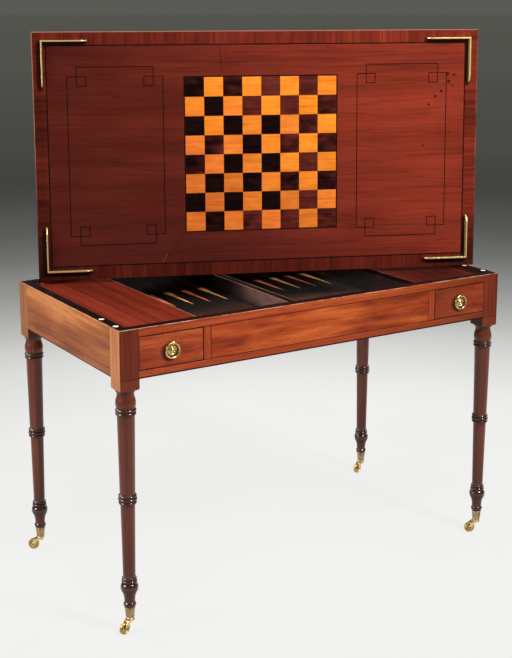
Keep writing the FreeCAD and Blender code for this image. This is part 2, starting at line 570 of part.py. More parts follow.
cups = []
for tag, sx, sy in (("front_left", -1, -1), ("front_right", 1, -1),
                    ("back_left", -1, 1), ("back_right", 1, 1)):
    ax = sx * (D["frame_length"] / 2 - D["post_size"] / 2)
    ay = sy * (D["frame_depth"] / 2 - D["post_size"] / 2)
    key = "trail_" + tag[0] + tag.split("_")[1][0]
    swivel = FreeCAD.Placement(V(ax, ay, 0), FreeCAD.Rotation(V(0, 0, 1), D[key]))
    cup = turned(CUP, "cup")
    cup.Placement = FreeCAD.Placement(V(ax, ay, 0), FreeCAD.Rotation())
    cups.append(cup)

    top = turned(PLATE, "swivel")
    bridge = box("-7", "6", "-dims.cheek_in-dims.cheek_thick",
                 "dims.cheek_in+dims.cheek_thick", "26.6", "31.5", "bridge")
    cheeks = []
    for s in (-1, 1):
        c = padded(CHEEK, "dims.cheek_thick", "XZ_Plane", "cheek")
        at(c, "0", "dims.cheek_in+dims.cheek_thick" if s > 0 else "-dims.cheek_in", "0")
        cheeks.append(c)
    holes = rod("dims.axle_rad", "30", "y", "dims.trail", "-15", "dims.wheel_rad",
                "axle_hole")
    horn = cut(fuse([top, bridge] + cheeks, "horn"), [holes], "horn_cut")
    horn.Placement = swivel
    keep(horn, "castor_%s_horn" % tag)

    pin = rod("dims.axle_rad", "2*(dims.cheek_in+dims.cheek_thick)", "y", "dims.trail",
              "-dims.cheek_in-dims.cheek_thick", "dims.wheel_rad", "axle")
    heads = [rod("2.9", "0.8", "y", "dims.trail", e, "dims.wheel_rad", "axle_head")
             for e in ("dims.cheek_in+dims.cheek_thick",
                       "-dims.cheek_in-dims.cheek_thick-0.8")]
    axle = fuse([pin] + heads, "axle")
    axle.Placement = swivel
    keep(axle, "castor_%s_axle" % tag)

    wheel = turned(WHEEL, "wheel")
    wheel.Placement = swivel.multiply(FreeCAD.Placement(
        V(TR, 0, WR), FreeCAD.Rotation(V(1, 0, 0), 90)))
    keep(wheel, "castor_%s_wheel" % tag)
keep(group(cups, "cups"), "castor_cups")

# ---------------------------------------------------------------------------
# Lift-off top. Its own axes: X along the length, Z up the width as it stands,
# the chess face at Y = -lid_thick and the plain face at Y = 0. It stands on
# the two end rims, turned across the frame and leaning back a little.
# ---------------------------------------------------------------------------
LID = FreeCAD.Placement(
    V(D["lid_x"], D["lid_y"], D["rim_height"] + D["lid_gap"]),
    FreeCAD.Rotation(V(0, 0, 1), D["lid_yaw"]).multiply(
        FreeCAD.Rotation(V(1, 0, 0), -D["lid_lean"])))
LU = "dims.lid_length/2"
LV = "dims.lid_width"
FACE = "-dims.lid_thick"
SKIN = "-dims.lid_thick+dims.skin"


def tile(u0, u1, v0, v1, stem="tile"):
    """A piece of the chess face's veneer."""
    return box(u0, u1, FACE, SKIN, v0, v1, stem)


def frame_of(y0, y1, u, v0, v1, width):
    """Four mitred strips inside the rectangle -u..u by v0..v1."""
    out = []
    for lower in (True, False):
        if lower:
            w = wedge("-(%s)" % u, u, "-(%s)+(%s)" % (u, width), "(%s)-(%s)" % (u, width),
                      v0, "(%s)+(%s)" % (v0, width), "-(%s)" % y1, "-(%s)" % y0, "strip")
        else:
            w = wedge("-(%s)+(%s)" % (u, width), "(%s)-(%s)" % (u, width), "-(%s)" % u, u,
                      "(%s)-(%s)" % (v1, width), v1, "-(%s)" % y1, "-(%s)" % y0, "strip")
        w.Placement = FreeCAD.Placement(V(0, 0, 0), FreeCAD.Rotation(V(1, 0, 0), 90))
        out.append(w)
    # wedge axes: X -> height, Y -> distance along the length
    for left in (True, False):
        if left:
            w = wedge(v0, v1, "(%s)+(%s)" % (v0, width), "(%s)-(%s)" % (v1, width),
                      "-(%s)" % u, "-(%s)+(%s)" % (u, width), y0, y1, "strip")
        else:
            w = wedge("(%s)+(%s)" % (v0, width), "(%s)-(%s)" % (v1, width), v0, v1,
                      "(%s)-(%s)" % (u, width), u, y0, y1, "strip")
        # (x, y, z) -> (y, z, x)
        w.Placement = FreeCAD.Placement(V(0, 0, 0), FreeCAD.Rotation(V(1, 1, 1), 240))
        out.append(w)
    return out


# brass corner strips, standing proud of the chess face
AL, BT, BH, BS = D["brass_arm"], D["brass_thick"], D["brass_high"], D["brass_sunk"]
ARM = [(0, -BS), (AL - 6, -BS), (AL - 4.5, 0), (AL, 0.6), (AL - 5.4, 6.4, AL - 16, BH),
       (0, BH)]


def brass_corner(su, top):
    arms = []
    for along_u in (True, False):
        a = padded(ARM, "dims.brass_thick", "XZ_Plane", "arm")
        # outline: X along the arm, Z out of the face; the pad runs towards -Y
        arms.append(a)
    u = su * (D["lid_length"] / 2 - D["brass_inset_u"])
    v = D["lid_width"] - D["brass_inset_v"] if top else D["brass_inset_v"]
    yf = -D["lid_thick"]
    su_in, sv_in = -su, (-1 if top else 1)      # the arms run inwards from the corner
    ex = V(su_in, 0, 0)
    ez = V(0, 0, sv_in)
    out = V(0, -1, 0)
    for a, along, across in ((arms[0], ex, ez), (arms[1], ez, ex)):
        # local X -> along, local Z -> out of the face, local Y -> Z x X
        yl = out.cross(along)
        m = FreeCAD.Matrix(along.x, yl.x, out.x, 0, along.y, yl.y, out.y, 0,
                           along.z, yl.z, out.z, 0, 0, 0, 0, 1)
        shift = V(0, 0, 0)
        # the pad fills local Y from -thick to 0: bring it inside the corner
        if (yl * -1).dot(across) < 0:
            shift = across * D["brass_thick"]
        base = V(u, yf, v) + shift
        a.Placement = FreeCAD.Placement(base, FreeCAD.Placement(m).Rotation)
    return fuse(arms, "brass_corner")


brass = [brass_corner(su, top) for su in (-1, 1) for top in (False, True)]

core = box("-" + LU, LU, SKIN, "-dims.skin", "0", LV, "core")
lid_core = cut(core, brass, "core_cut")
bands = frame_of(FACE, SKIN, LU, "0", LV, "dims.band_width")
band_pieces = [cut(b, brass, "band_cut") for b in bands]

BU = "(%s-dims.band_width)" % LU
border = cut(tile("-" + BU, BU, "dims.band_width", LV + "-dims.band_width"),
             [box("-%s+dims.lid_line" % BU, BU + "-dims.lid_line", FACE + "-1", SKIN + "+1",
                  "dims.band_width+dims.lid_line", LV + "-dims.band_width-dims.lid_line")],
             "border_line")
HB = "(4*dims.square_side)"
MV = "(dims.lid_width/2)"
board_line = cut(tile("-%s-dims.lid_line" % HB, HB + "+dims.lid_line",
                      "%s-%s-dims.lid_line" % (MV, HB), "%s+%s+dims.lid_line" % (MV, HB)),
                 [box("-" + HB, HB, FACE + "-1", SKIN + "+1", "%s-%s" % (MV, HB),
                      "%s+%s" % (MV, HB))], "board_line")

# panel lines with a small looped square at each corner
T = "dims.panel_line/2"


def panel(sx):
    strips = []

    def h(ua, ub, v):
        a, b = span(sx, ua, ub)
        strips.append(tile("%s-%s" % (a, T), "%s+%s" % (b, T), "%s-%s" % (v, T),
                           "%s+%s" % (v, T), "panel_line"))

    def w(u, va, vb):
        a, _ = span(sx, u, u)
        strips.append(tile("%s-%s" % (a, T), "%s+%s" % (a, T), "%s-%s" % (va, T),
                           "%s+%s" % (vb, T), "panel_line"))

    n, f, lo, hi, st = ("dims.panel_near", "dims.panel_far", "dims.panel_low",
                        "dims.panel_high", "dims.panel_step")
    h("%s+%s" % (n, st), "%s-%s" % (f, st), lo)
    h("%s+%s" % (n, st), "%s-%s" % (f, st), hi)
    w(n, "%s+%s" % (lo, st), "%s-%s" % (hi, st))
    w(f, "%s+%s" % (lo, st), "%s-%s" % (hi, st))
    for vedge, sv in ((lo, "+"), (hi, "-")):
        near = "%s%s%s" % (vedge, sv, st)
        far = "%s%s2*%s" % (vedge, sv, st)
        va, vb = (vedge, far) if sv == "+" else (far, vedge)
        ia, ib = (near, far) if sv == "+" else (far, near)
        # inner end of the panel
        w("%s+%s" % (n, st), va, vb)
        h("%s+%s" % (n, st), "%s+2*%s" % (n, st), far)
        w("%s+2*%s" % (n, st), ia, ib)
        h(n, "%s+2*%s" % (n, st), near)
        # outer end of the panel
        w("%s-%s" % (f, st), va, vb)
        h("%s-2*%s" % (f, st), "%s-%s" % (f, st), far)
        w("%s-2*%s" % (f, st), ia, ib)
        h("%s-2*%s" % (f, st), f, near)
    return fuse(strips, "panel_lines")


panels = [panel(-1), panel(1)]
field_blank = tile("-%s+dims.lid_line" % BU, BU + "-dims.lid_line",
                   "dims.band_width+dims.lid_line", LV + "-dims.band_width-dims.lid_line",
                   "field")
board_hole = box("-%s-dims.lid_line" % HB, HB + "+dims.lid_line", FACE + "-1", SKIN + "+1",
                 "%s-%s-dims.lid_line" % (MV, HB), "%s+%s+dims.lid_line" % (MV, HB),
                 "board_hole")
field = cut(cut(field_blank, [board_hole], "field_cut"), panels, "field_cut")

squares = {0: [], 1: []}
for i in range(8):
    for j in range(8):
        # dark at the upper left and lower right, light at the other two corners
        dark = (i + j) % 2 == 1
        squares[1 if dark else 0].append(
            tile("(%d)*dims.square_side" % (i - 4), "(%d)*dims.square_side" % (i - 3),
                 "%s+(%d)*dims.square_side" % (MV, j - 4),
                 "%s+(%d)*dims.square_side" % (MV, j - 3), "square"))

back_band = frame_of("-dims.skin", "0", LU, "0", LV, "dims.band_width")
back_field = box("-" + BU, BU, "-dims.skin", "0", "dims.band_width",
                 LV + "-dims.band_width", "back_field")

for label, obj in (
        ("top_core", lid_core),
        ("top_crossbanding", group(band_pieces, "banding")),
        ("top_field_veneer", group([field], "field")),
        ("top_stringing", group([border, board_line] + panels, "lid_lines")),
        ("chess_squares_light", group(squares[0], "light_squares")),
        ("chess_squares_dark", group(squares[1], "dark_squares")),
        ("top_brass_corners", group(brass, "brass")),
        ("top_plain_field", group([back_field], "back_field")),
        ("top_plain_banding", group(back_band, "back_banding"))):
    obj.Placement = LID
    keep(obj, label)

doc.recompute()

# ---------------------------------------------------------------------------
# Every object has to be sound before anything is written.
# ---------------------------------------------------------------------------
bad = [o.Name for o in doc.Objects
       if any(s in ("Invalid", "Error") for s in o.State)]
for label, obj in nodes:
    shape = obj.Shape
    if shape.isNull() or not shape.isValid() or not shape.Solids:
        bad.append(label)
if bad:
    raise SystemExit("unsound: " + ", ".join(bad))

os.makedirs("parts", exist_ok=True)
for label, obj in nodes:
    obj.Shape.exportStep(os.path.join("parts", label + ".step"))
    b = obj.Shape.BoundBox
    print("%-28s solids %2d  vol %10.1f cm3  x %7.1f %7.1f  y %7.1f %7.1f  z %6.1f %6.1f" % (
        label, len(obj.Shape.Solids), obj.Shape.Volume / 1000, b.XMin, b.XMax, b.YMin,
        b.YMax, b.ZMin, b.ZMax))
print("nodes", len(nodes))
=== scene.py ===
import bpy
import bmesh
import math
from mathutils import Euler, Matrix, Vector

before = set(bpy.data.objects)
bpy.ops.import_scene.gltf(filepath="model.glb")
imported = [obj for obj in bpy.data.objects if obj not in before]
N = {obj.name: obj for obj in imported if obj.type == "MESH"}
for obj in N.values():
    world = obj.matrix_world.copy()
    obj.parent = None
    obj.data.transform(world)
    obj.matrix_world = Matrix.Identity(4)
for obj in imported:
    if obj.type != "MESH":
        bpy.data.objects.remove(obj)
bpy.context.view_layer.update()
scene = bpy.context.scene
scene.view_settings.view_transform = "Standard"
scene.view_settings.look = "None"

# The lift-off top has its own axes: X along its length, Z up its width as it
# stands, the chess face at Y = -0.019 and the plain face at Y = 0.
LID_AT = (0.0332, 0.0575, 0.7153)
LID_TURN = (math.radians(-2.0), 0.0, math.radians(-22.2))
LID_HALF, LID_WIDE = 0.568, 0.616


def rgb(r, g, b):
    """A display colour, 0 to 255, as a linear one."""
    def one(c):
        c /= 255.0
        return c / 12.92 if c <= 0.04045 else ((c + 0.055) / 1.055) ** 2.4
    return (one(r), one(g), one(b), 1.0)


# ---------------------------------------------------------------------------
# A small language for shader graphs.
# ---------------------------------------------------------------------------
class Graph:
    def __init__(self, name):
        self.mat = bpy.data.materials.new(name)
        self.mat.use_nodes = True
        self.tree = self.mat.node_tree
        self.tree.nodes.clear()
        self.out = self.node("ShaderNodeOutputMaterial")
        self.bsdf = self.node("ShaderNodeBsdfPrincipled")
        self.tree.links.new(self.bsdf.outputs[0], self.out.inputs[0])
        self._coords = None

    def node(self, kind, **props):
        n = self.tree.nodes.new(kind)
        for k, v in props.items():
            setattr(n, k, v)
        return n

    def put(self, socket, value):
        if isinstance(value, bpy.types.NodeSocket):
            self.tree.links.new(value, socket)
        elif value is not None:
            socket.default_value = value

    def set(self, **values):
        """Values or links on the shader itself."""
        for k, v in values.items():
            self.put(self.bsdf.inputs[k.replace("_", " ")], v)

    def coords(self):
        if self._coords is None:
            self._coords = self.node("ShaderNodeTexCoord")
        return self._coords.outputs["Object"]

    def lid(self):
        n = self.node("ShaderNodeMapping", vector_type="TEXTURE")
        self.put(n.inputs["Vector"], self.coords())
        n.inputs["Location"].default_value = LID_AT
        n.inputs["Rotation"].default_value = LID_TURN
        return n.outputs[0]

    def math(self, op, a, b=None, c=None, clamp=False):
        n = self.node("ShaderNodeMath", operation=op, use_clamp=clamp)
        for s, v in zip(n.inputs, (a, b, c)):
            self.put(s, v)
        return n.outputs[0]

    def vec(self, op, a, b=None, scale=None):
        n = self.node("ShaderNodeVectorMath", operation=op)
        self.put(n.inputs[0], a)
        if b is not None:
            self.put(n.inputs[1], b)
        if scale is not None:
            self.put(n.inputs["Scale"], scale)
        return n.outputs["Value"] if op in ("LENGTH", "DOT_PRODUCT", "DISTANCE") else n.outputs[0]

    def split(self, v):
        n = self.node("ShaderNodeSeparateXYZ")
        self.put(n.inputs[0], v)
        return n.outputs[0], n.outputs[1], n.outputs[2]

    def join(self, x, y, z):
        n = self.node("ShaderNodeCombineXYZ")
        for s, v in zip(n.inputs, (x, y, z)):
            self.put(s, v)
        return n.outputs[0]

    def place(self, v, scale=(1, 1, 1), shift=(0, 0, 0), turn=(0, 0, 0)):
        n = self.node("ShaderNodeMapping")
        self.put(n.inputs["Vector"], v)
        n.inputs["Scale"].default_value = scale
        n.inputs["Location"].default_value = shift
        n.inputs["Rotation"].default_value = turn
        return n.outputs[0]

    def noise(self, v, scale=1.0, detail=2.0, rough=0.5, bend=0.0, colour=False):
        n = self.node("ShaderNodeTexNoise")
        self.put(n.inputs["Vector"], v)
        n.inputs["Scale"].default_value = scale
        n.inputs["Detail"].default_value = detail
        n.inputs["Roughness"].default_value = rough
        n.inputs["Distortion"].default_value = bend
        return n.outputs["Color" if colour else "Fac"]

    def dice(self, v):
        n = self.node("ShaderNodeTexWhiteNoise")
        self.put(n.inputs["Vector"], v)
        return n.outputs["Value"]

    def cells(self, v, scale=1.0):
        n = self.node("ShaderNodeTexVoronoi")
        self.put(n.inputs["Vector"], v)
        n.inputs["Scale"].default_value = scale
        return n.outputs["Distance"]

    def span(self, v, a, b, lo=0.0, hi=1.0, smooth=False):
        n = self.node("ShaderNodeMapRange",
                      interpolation_type="SMOOTHSTEP" if smooth else "LINEAR")
        self.put(n.inputs["Value"], v)
        n.inputs["From Min"].default_value = a
        n.inputs["From Max"].default_value = b
        n.inputs["To Min"].default_value = lo
        n.inputs["To Max"].default_value = hi
        return n.outputs[0]

    def ramp(self, fac, stops):
        n = self.node("ShaderNodeValToRGB")
        self.put(n.inputs[0], fac)
        e = n.color_ramp.elements
        while len(e) < len(stops):
            e.new(0.5)
        for item, (at, colour) in zip(e, stops):
            item.position = at
            item.color = colour
        return n.outputs[0]

    def mix(self, fac, a, b, how="MIX"):
        n = self.node("ShaderNodeMix", data_type="RGBA", blend_type=how)
        self.put(n.inputs[0], fac)
        self.put(n.inputs[6], a)
        self.put(n.inputs[7], b)
        return n.outputs[2]

    def blend(self, fac, a, b):
        n = self.node("ShaderNodeMix", data_type="FLOAT")
        self.put(n.inputs[0], fac)
        self.put(n.inputs[2], a)
        self.put(n.inputs[3], b)
        return n.outputs[0]

    def dim(self, colour, amount):
        """The colour times a grey amount."""
        return self.mix(1.0, colour, self.join(amount, amount, amount), "MULTIPLY")

    def bump(self, height, strength, depth):
        n = self.node("ShaderNodeBump")
        n.inputs["Strength"].default_value = strength
        n.inputs["Distance"].default_value = depth
        self.put(n.inputs["Height"], height)
        return n.outputs[0]

    def edges(self, radius, lo=0.02, hi=0.25):
        """1 on an arris, 0 on the flat."""
        b = self.node("ShaderNodeBevel", samples=4)
        b.inputs["Radius"].default_value = radius
        geo = self.node("ShaderNodeNewGeometry")
        d = self.vec("DOT_PRODUCT", b.outputs[0], geo.outputs["Normal"])
        return self.span(d, 1.0 - lo, 1.0 - hi)

    def occlusion_mask(self, reach, local=True):
        """0 in a crease, 1 in the open."""
        n = self.node("ShaderNodeAmbientOcclusion", samples=6, only_local=local)
        n.inputs["Distance"].default_value = reach
        return n.outputs["AO"]

    def near(self, p2, a, b):
        """Distance from the flat point p2 = (u, v, 0) to the line from a to b."""
        ax, ay = a
        dx, dy = b[0] - ax, b[1] - ay
        rel = self.vec("SUBTRACT", p2, (ax, ay, 0))
        t = self.math("DIVIDE", self.vec("DOT_PRODUCT", rel, (dx, dy, 0)),
                      dx * dx + dy * dy, clamp=True)
        foot = self.vec("SCALE", (dx, dy, 0), scale=t)
        return self.vec("LENGTH", self.vec("SUBTRACT", rel, foot))


def along(g, p, axis):
    """Turn the coordinates so that the grain runs along the first one."""
    x, y, z = g.split(p)
    return {"x": p, "y": g.join(y, x, z), "z": g.join(z, x, y)}[axis]


class Grain:
    """The layers that every plank shares, in metres, grain along X."""

    def __init__(self, g, p, seed, wide=26.0, fine=150.0, wander=0.02, run=1.0):
        p = g.place(p, shift=(seed * 1.37, seed * 0.71, seed * 0.53))
        drift = g.noise(g.place(p, (1.4 * run, 5, 5)), detail=2, colour=True)
        drift = g.vec("SCALE", g.vec("SUBTRACT", drift, (0.5, 0.5, 0.5)), scale=wander)
        self.q = q = g.vec("ADD", p, drift)
        self.bands = g.noise(g.place(q, (1.2 * run, wide, wide)), detail=3, rough=0.55)
        self.streaks = g.noise(g.place(q, (3.0 * run, fine, fine)), detail=3, rough=0.6)
        self.fibre = g.noise(g.place(q, (22 * run, 900, 900)), detail=2, rough=0.6)
        self.patch = g.noise(g.place(p, (2.2, 3.1, 3.1)), detail=2)


def plank(name, tones, axis="x", seed=0.0, on_lid=False, wide=26.0, fine=150.0, wander=0.02,
          run=1.0, mixture=(0.55, 0.35), contrast=1.35, patch=0.35, pores=0.45,
          figure=None, gloss=(0.26, 0.40), coat=0.10, sheen=0.16, wear=0.35, worn=None,
          crease_darkening=0.45, extra=None):
    """A polished plank: bands, streaks, pores, a slow drift of tone, worn arrises, and darkening in
    the corners and creases that is soiling and painted shade together."""
    g = Graph(name)
    p = g.lid() if on_lid else g.coords()
    w = Grain(g, along(g, p, axis), seed, wide, fine, wander, run)
    tone = g.math("ADD", g.math("MULTIPLY", w.bands, mixture[0]),
                  g.math("MULTIPLY", w.streaks, mixture[1]))
    tone = g.math("ADD", tone, g.math("MULTIPLY", w.patch, patch))
    mid = 0.5 * (mixture[0] + mixture[1] + patch)
    if figure:
        # soft stripes of light across the grain, as in a flame or fiddle figure
        turn, scale, amount = figure
        f = g.noise(g.place(w.q, scale, turn=turn), detail=1.5, bend=0.4)
        tone = g.math("ADD", tone, g.math("MULTIPLY", f, amount))
        mid += 0.5 * amount
    tone = g.span(tone, mid - 0.5 / contrast, mid + 0.5 / contrast)
    n = len(tones)
    colour = g.ramp(tone, [(0.12 + 0.76 * i / (n - 1), c) for i, c in enumerate(tones)])
    pore = g.span(w.fibre, 0.30, 0.52, 1.0 - pores, 1.0)
    colour = g.dim(colour, pore)
    if extra:
        colour = extra(g, p, w, colour)
    rough = g.span(w.streaks, 0.3, 0.7, gloss[0], gloss[1])
    rub = g.noise(g.place(p, (9, 9, 9)), detail=3)
    rough = g.math("ADD", rough, g.span(rub, 0.35, 0.75, -0.03, 0.07))
    # darkening in creases from ambient occlusion: soiling and painted shade together
    if crease_darkening:
        d = g.occlusion_mask(0.012)
        colour = g.dim(colour, g.span(d, 0.35, 0.9, 1.0 - crease_darkening, 1.0))
    if wear:
        e = g.edges(0.0016)
        patchy = g.span(g.noise(g.place(p, (34, 34, 34)), detail=3), 0.36, 0.62)
        m = g.math("MULTIPLY", g.math("MULTIPLY", e, patchy), wear)
        colour = g.mix(m, colour, worn or tones[-1])
        rough = g.math("ADD", rough, g.math("MULTIPLY", m, 0.12))
    height = g.math("ADD", g.math("MULTIPLY", pore, 0.7), g.math("MULTIPLY", w.streaks, 0.5))
    g.set(Base_Color=colour, Roughness=rough, Normal=g.bump(height, 0.22, 0.0004),
          Coat_Weight=coat(g, p) if callable(coat) else coat, Coat_Roughness=0.09, IOR=1.5,
          Specular_IOR_Level=sheen)
    return g.mat


# ---------------------------------------------------------------------------
# Mahogany of the frame.
# ---------------------------------------------------------------------------
FRIEZE = [rgb(104, 34, 15), rgb(146, 54, 23), rgb(172, 72, 31), rgb(196, 94, 44)]


def lip_highlight_and_wear(g, p, w, colour):
    """The arris outside the black capping is painted pale in broken spots: partly rubbed wear,
    partly a painted highlight.
    """
    x, y, z = g.split(p)
    # pale arris: a painted highlight, with rubbed wear
    m = g.span(z, 0.7134, 0.7146)
    spots = g.span(g.noise(g.place(p, (30, 30, 60)), detail=4, rough=0.65), 0.40, 0.60)
    amount = g.span(spots, 0, 1, 0.12, 0.88)
    out = g.math("ABSOLUTE", x)
    end = g.span(out, 0.5402, 0.5412)
    amount = g.math("MULTIPLY", amount, g.blend(end, 1.0, 0.55))
    inside = g.math("MULTIPLY", g.span(z, 0.7035, 0.7045),
                    g.math("MULTIPLY", g.span(out, 0.5160, 0.5168), g.span(out, 0.5178, 0.5172)))
    colour = g.mix(g.math("MULTIPLY", inside, 0.9), colour, rgb(34, 12, 9))
    return g.mix(g.math("MULTIPLY", m, amount), colour, rgb(200, 164, 142))


def low_edge(g, p, w, colour):
    """A rail: stained dark along its lower arris, deeper in tone towards the right."""
    x, y, z = g.split(p)
    colour = g.dim(colour, g.span(x, 0.10, 0.50, 1.0, 0.56))
    colour = g.mix(g.math("MULTIPLY", g.span(z, 0.6050, 0.6042), 0.85), colour, rgb(24, 9, 8))
    return lip_highlight_and_wear(g, p, w, colour)


def deepen(g, p, w, colour):
    return g.dim(colour, g.span(g.split(p)[0], -0.10, 0.32, 1.03, 0.79))


def pull_shadow_and_right_tone(g, p, w, colour):
    """Darker towards the right drawer, and a painted shadow round the pull, most of it below and to
    one side, as if cast by the ring.
    """
    x, y, z = g.split(p)
    at = g.join(g.math("ABSOLUTE", x), z, 0.0)
    side = g.math("SIGN", x)
    at = g.vec("SUBTRACT", at, g.join(g.math("MULTIPLY", side, -0.0065), -0.003, 0.0))
    d = g.vec("DISTANCE", at, (0.4145, 0.655, 0.0))
    deep = g.mix(g.span(x, 0.36, 0.47), (0.45, 0.33, 0.42, 1.0), (0.60, 0.48, 0.57, 1.0))
    colour = g.mix(g.span(x, 0.0, 0.10), colour, g.mix(1.0, colour, deep, "MULTIPLY"))
    # painted shadow round the pull
    return g.mix(g.span(d, 0.0185, 0.0235, 0.62, 0.0, smooth=True), colour, rgb(38, 11, 8))


rails = plank("mahogany_rails", FRIEZE, seed=1.0, wide=60, mixture=(0.60, 0.30),
              contrast=1.5, patch=0.5, extra=low_edge)
back_wood = plank("mahogany_back", [rgb(98, 36, 20), rgb(134, 54, 28), rgb(158, 70, 36),
                                    rgb(176, 88, 46)], seed=7.3, extra=low_edge)
centre = plank("mahogany_centre_panel",
               [rgb(106, 34, 14), rgb(148, 55, 22), rgb(172, 72, 29), rgb(196, 95, 41)],
               seed=2.6, wide=46, fine=190, run=1.5, wander=0.036, mixture=(0.70, 0.28),
               contrast=2.0, patch=0.60, figure=((0, 0.25, 0), (7, 12, 34), 0.60), extra=deepen)
# The drawer fronts' pale worn arrises are partly a painted highlight along their edges.
front_left = plank("mahogany_drawer_left",
                   [rgb(104, 32, 15), rgb(140, 50, 24), rgb(164, 68, 32), rgb(188, 90, 46)],
                   seed=4.1, wide=46, fine=190, run=2.0, wander=0.03, mixture=(0.65, 0.28),
                   contrast=2.0, patch=0.6, figure=((0, 0.7, 0), (9, 12, 22), 0.50), wear=0.8,
                   worn=rgb(212, 136, 88), extra=pull_shadow_and_right_tone)
front_right = plank("mahogany_drawer_right",
                    [rgb(98, 30, 14), rgb(138, 50, 23), rgb(160, 66, 30), rgb(184, 88, 44)],
                    seed=5.7, wide=46, fine=190, run=2.0, wander=0.03, mixture=(0.65, 0.28),
                    contrast=2.0, patch=0.6, figure=((0, 0.7, 0), (9, 12, 22), 0.50), wear=0.8,
                    worn=rgb(212, 136, 88), extra=pull_shadow_and_right_tone)
muntin = plank("mahogany_muntins", FRIEZE, axis="z", seed=3.3, extra=deepen)
# The ends are a paler tan than the front: partly their own figure, partly painted light from the
# lamp at the side.
END = [rgb(106, 52, 22), rgb(136, 73, 36), rgb(158, 91, 46), rgb(190, 120, 66)]
ends = plank("mahogany_ends", END, axis="y", seed=8.2, wide=15, fine=120, wander=0.08,
             mixture=(0.55, 0.34), contrast=2.4, figure=((0.0, 0.7, 0.7), (3.4, 14, 14), 0.70),
             patch=0.35, pores=0.3, extra=lip_highlight_and_wear)


def rings(g, z):
    """1 on the turned rings and bulbs, which are coloured darker and carry the thickest coat."""
    m = None
    for low, high, soft in ((0.062, 0.073, 0.002), (0.098, 0.136, 0.004), (0.3088, 0.3332, 0.0006),
                            (0.5160, 0.5342, 0.0006), (0.5690, 0.5760, 0.001)):
        a = g.math("MULTIPLY", g.span(z, low - soft, low), g.span(z, high + soft, high))
        m = a if m is None else g.math("MAXIMUM", m, a)
    return m


def leg_tone(g, p, w, colour):
    """The turned leg is darker on its rings and towards the foot; the square post above it is
    lighter, its outer side painted a paler tan as painted light and its inner side darkened as
    painted shade, with a pale top arris, part rubbed wear and part painted highlight, and the legs
    darker at the back and to the right."""
    x, y, z = g.split(p)
    post = g.span(z, 0.5764, 0.5773)
    geo = g.node("ShaderNodeNewGeometry")
    nx, ny, nz = g.split(geo.outputs["Normal"])
    side = g.math("GREATER_THAN", g.math("MULTIPLY", nx, g.math("SIGN", x)), 0.75)
    inner = g.math("LESS_THAN", g.math("MULTIPLY", nx, g.math("SIGN", x)), -0.75)
    fine = g.span(w.streaks, 0.25, 0.75)
    wide = g.span(w.bands, 0.25, 0.75)
    t = g.math("ADD", g.math("MULTIPLY", fine, 0.55), g.math("MULTIPLY", wide, 0.45))
    front_tone = g.ramp(t, [(0.1, rgb(74, 24, 13)), (0.5, rgb(101, 37, 20)),
                            (0.9, rgb(132, 55, 30))])
    end_tone = g.ramp(t, [(0.1, rgb(138, 76, 42)), (0.5, rgb(174, 110, 66)),
                          (0.9, rgb(200, 138, 92))])
    # painted light: the outer side of the post takes the paler tan of the ends, as if lit from the
    # side
    post_tone = g.mix(side, front_tone, end_tone)
    low = g.span(z, 0.6015, 0.6005)
    post_tone = g.mix(g.math("MULTIPLY", low, 0.18), post_tone, rgb(140, 70, 38))
    # painted shade: the inner side of the post is darkened
    post_tone = g.mix(g.math("MULTIPLY", inner, 0.7), post_tone, rgb(26, 12, 11))
    post_tone = g.dim(post_tone, g.span(y, -0.10, 0.22, 1.0, 0.66))
    colour = g.mix(post, colour, post_tone)
    foot = g.span(z, 0.30, 0.12, smooth=True)
    colour = g.mix(g.math("MULTIPLY", foot, 0.35), colour, rgb(44, 20, 20))
    colour = g.mix(g.math("MULTIPLY", rings(g, z), 0.62), colour, rgb(22, 7, 7))
    colour = g.dim(colour, g.span(x, 0.0, 0.45, 1.0, 0.88))
    colour = g.dim(colour, g.span(y, -0.10, 0.22, 1.0, 0.90))
    return lip_highlight_and_wear(g, p, w, colour)


def leg_coat(g, p):
    """More polish left on the turning than on the post, and most on its rings."""
    z = g.split(p)[2]
    turned = g.blend(rings(g, z), 0.28, 1.0)
    geo = g.node("ShaderNodeNewGeometry")
    turned = g.math("MULTIPLY", turned, g.span(g.split(geo.outputs["Normal"])[2], -0.45, 0.05))
    return g.blend(g.span(z, 0.5764, 0.5773), turned, 0.05)


legs = plank("mahogany_legs", [rgb(50, 22, 14), rgb(86, 40, 26), rgb(114, 57, 36),
                               rgb(150, 84, 54)],
             axis="z", seed=6.4, wide=34, fine=170, wander=0.012, contrast=1.2, patch=0.2,
             pores=0.35, gloss=(0.20, 0.34), coat=leg_coat, sheen=0.18, wear=0.5,
             worn=rgb(136, 74, 46), crease_darkening=0.65, extra=leg_tone)


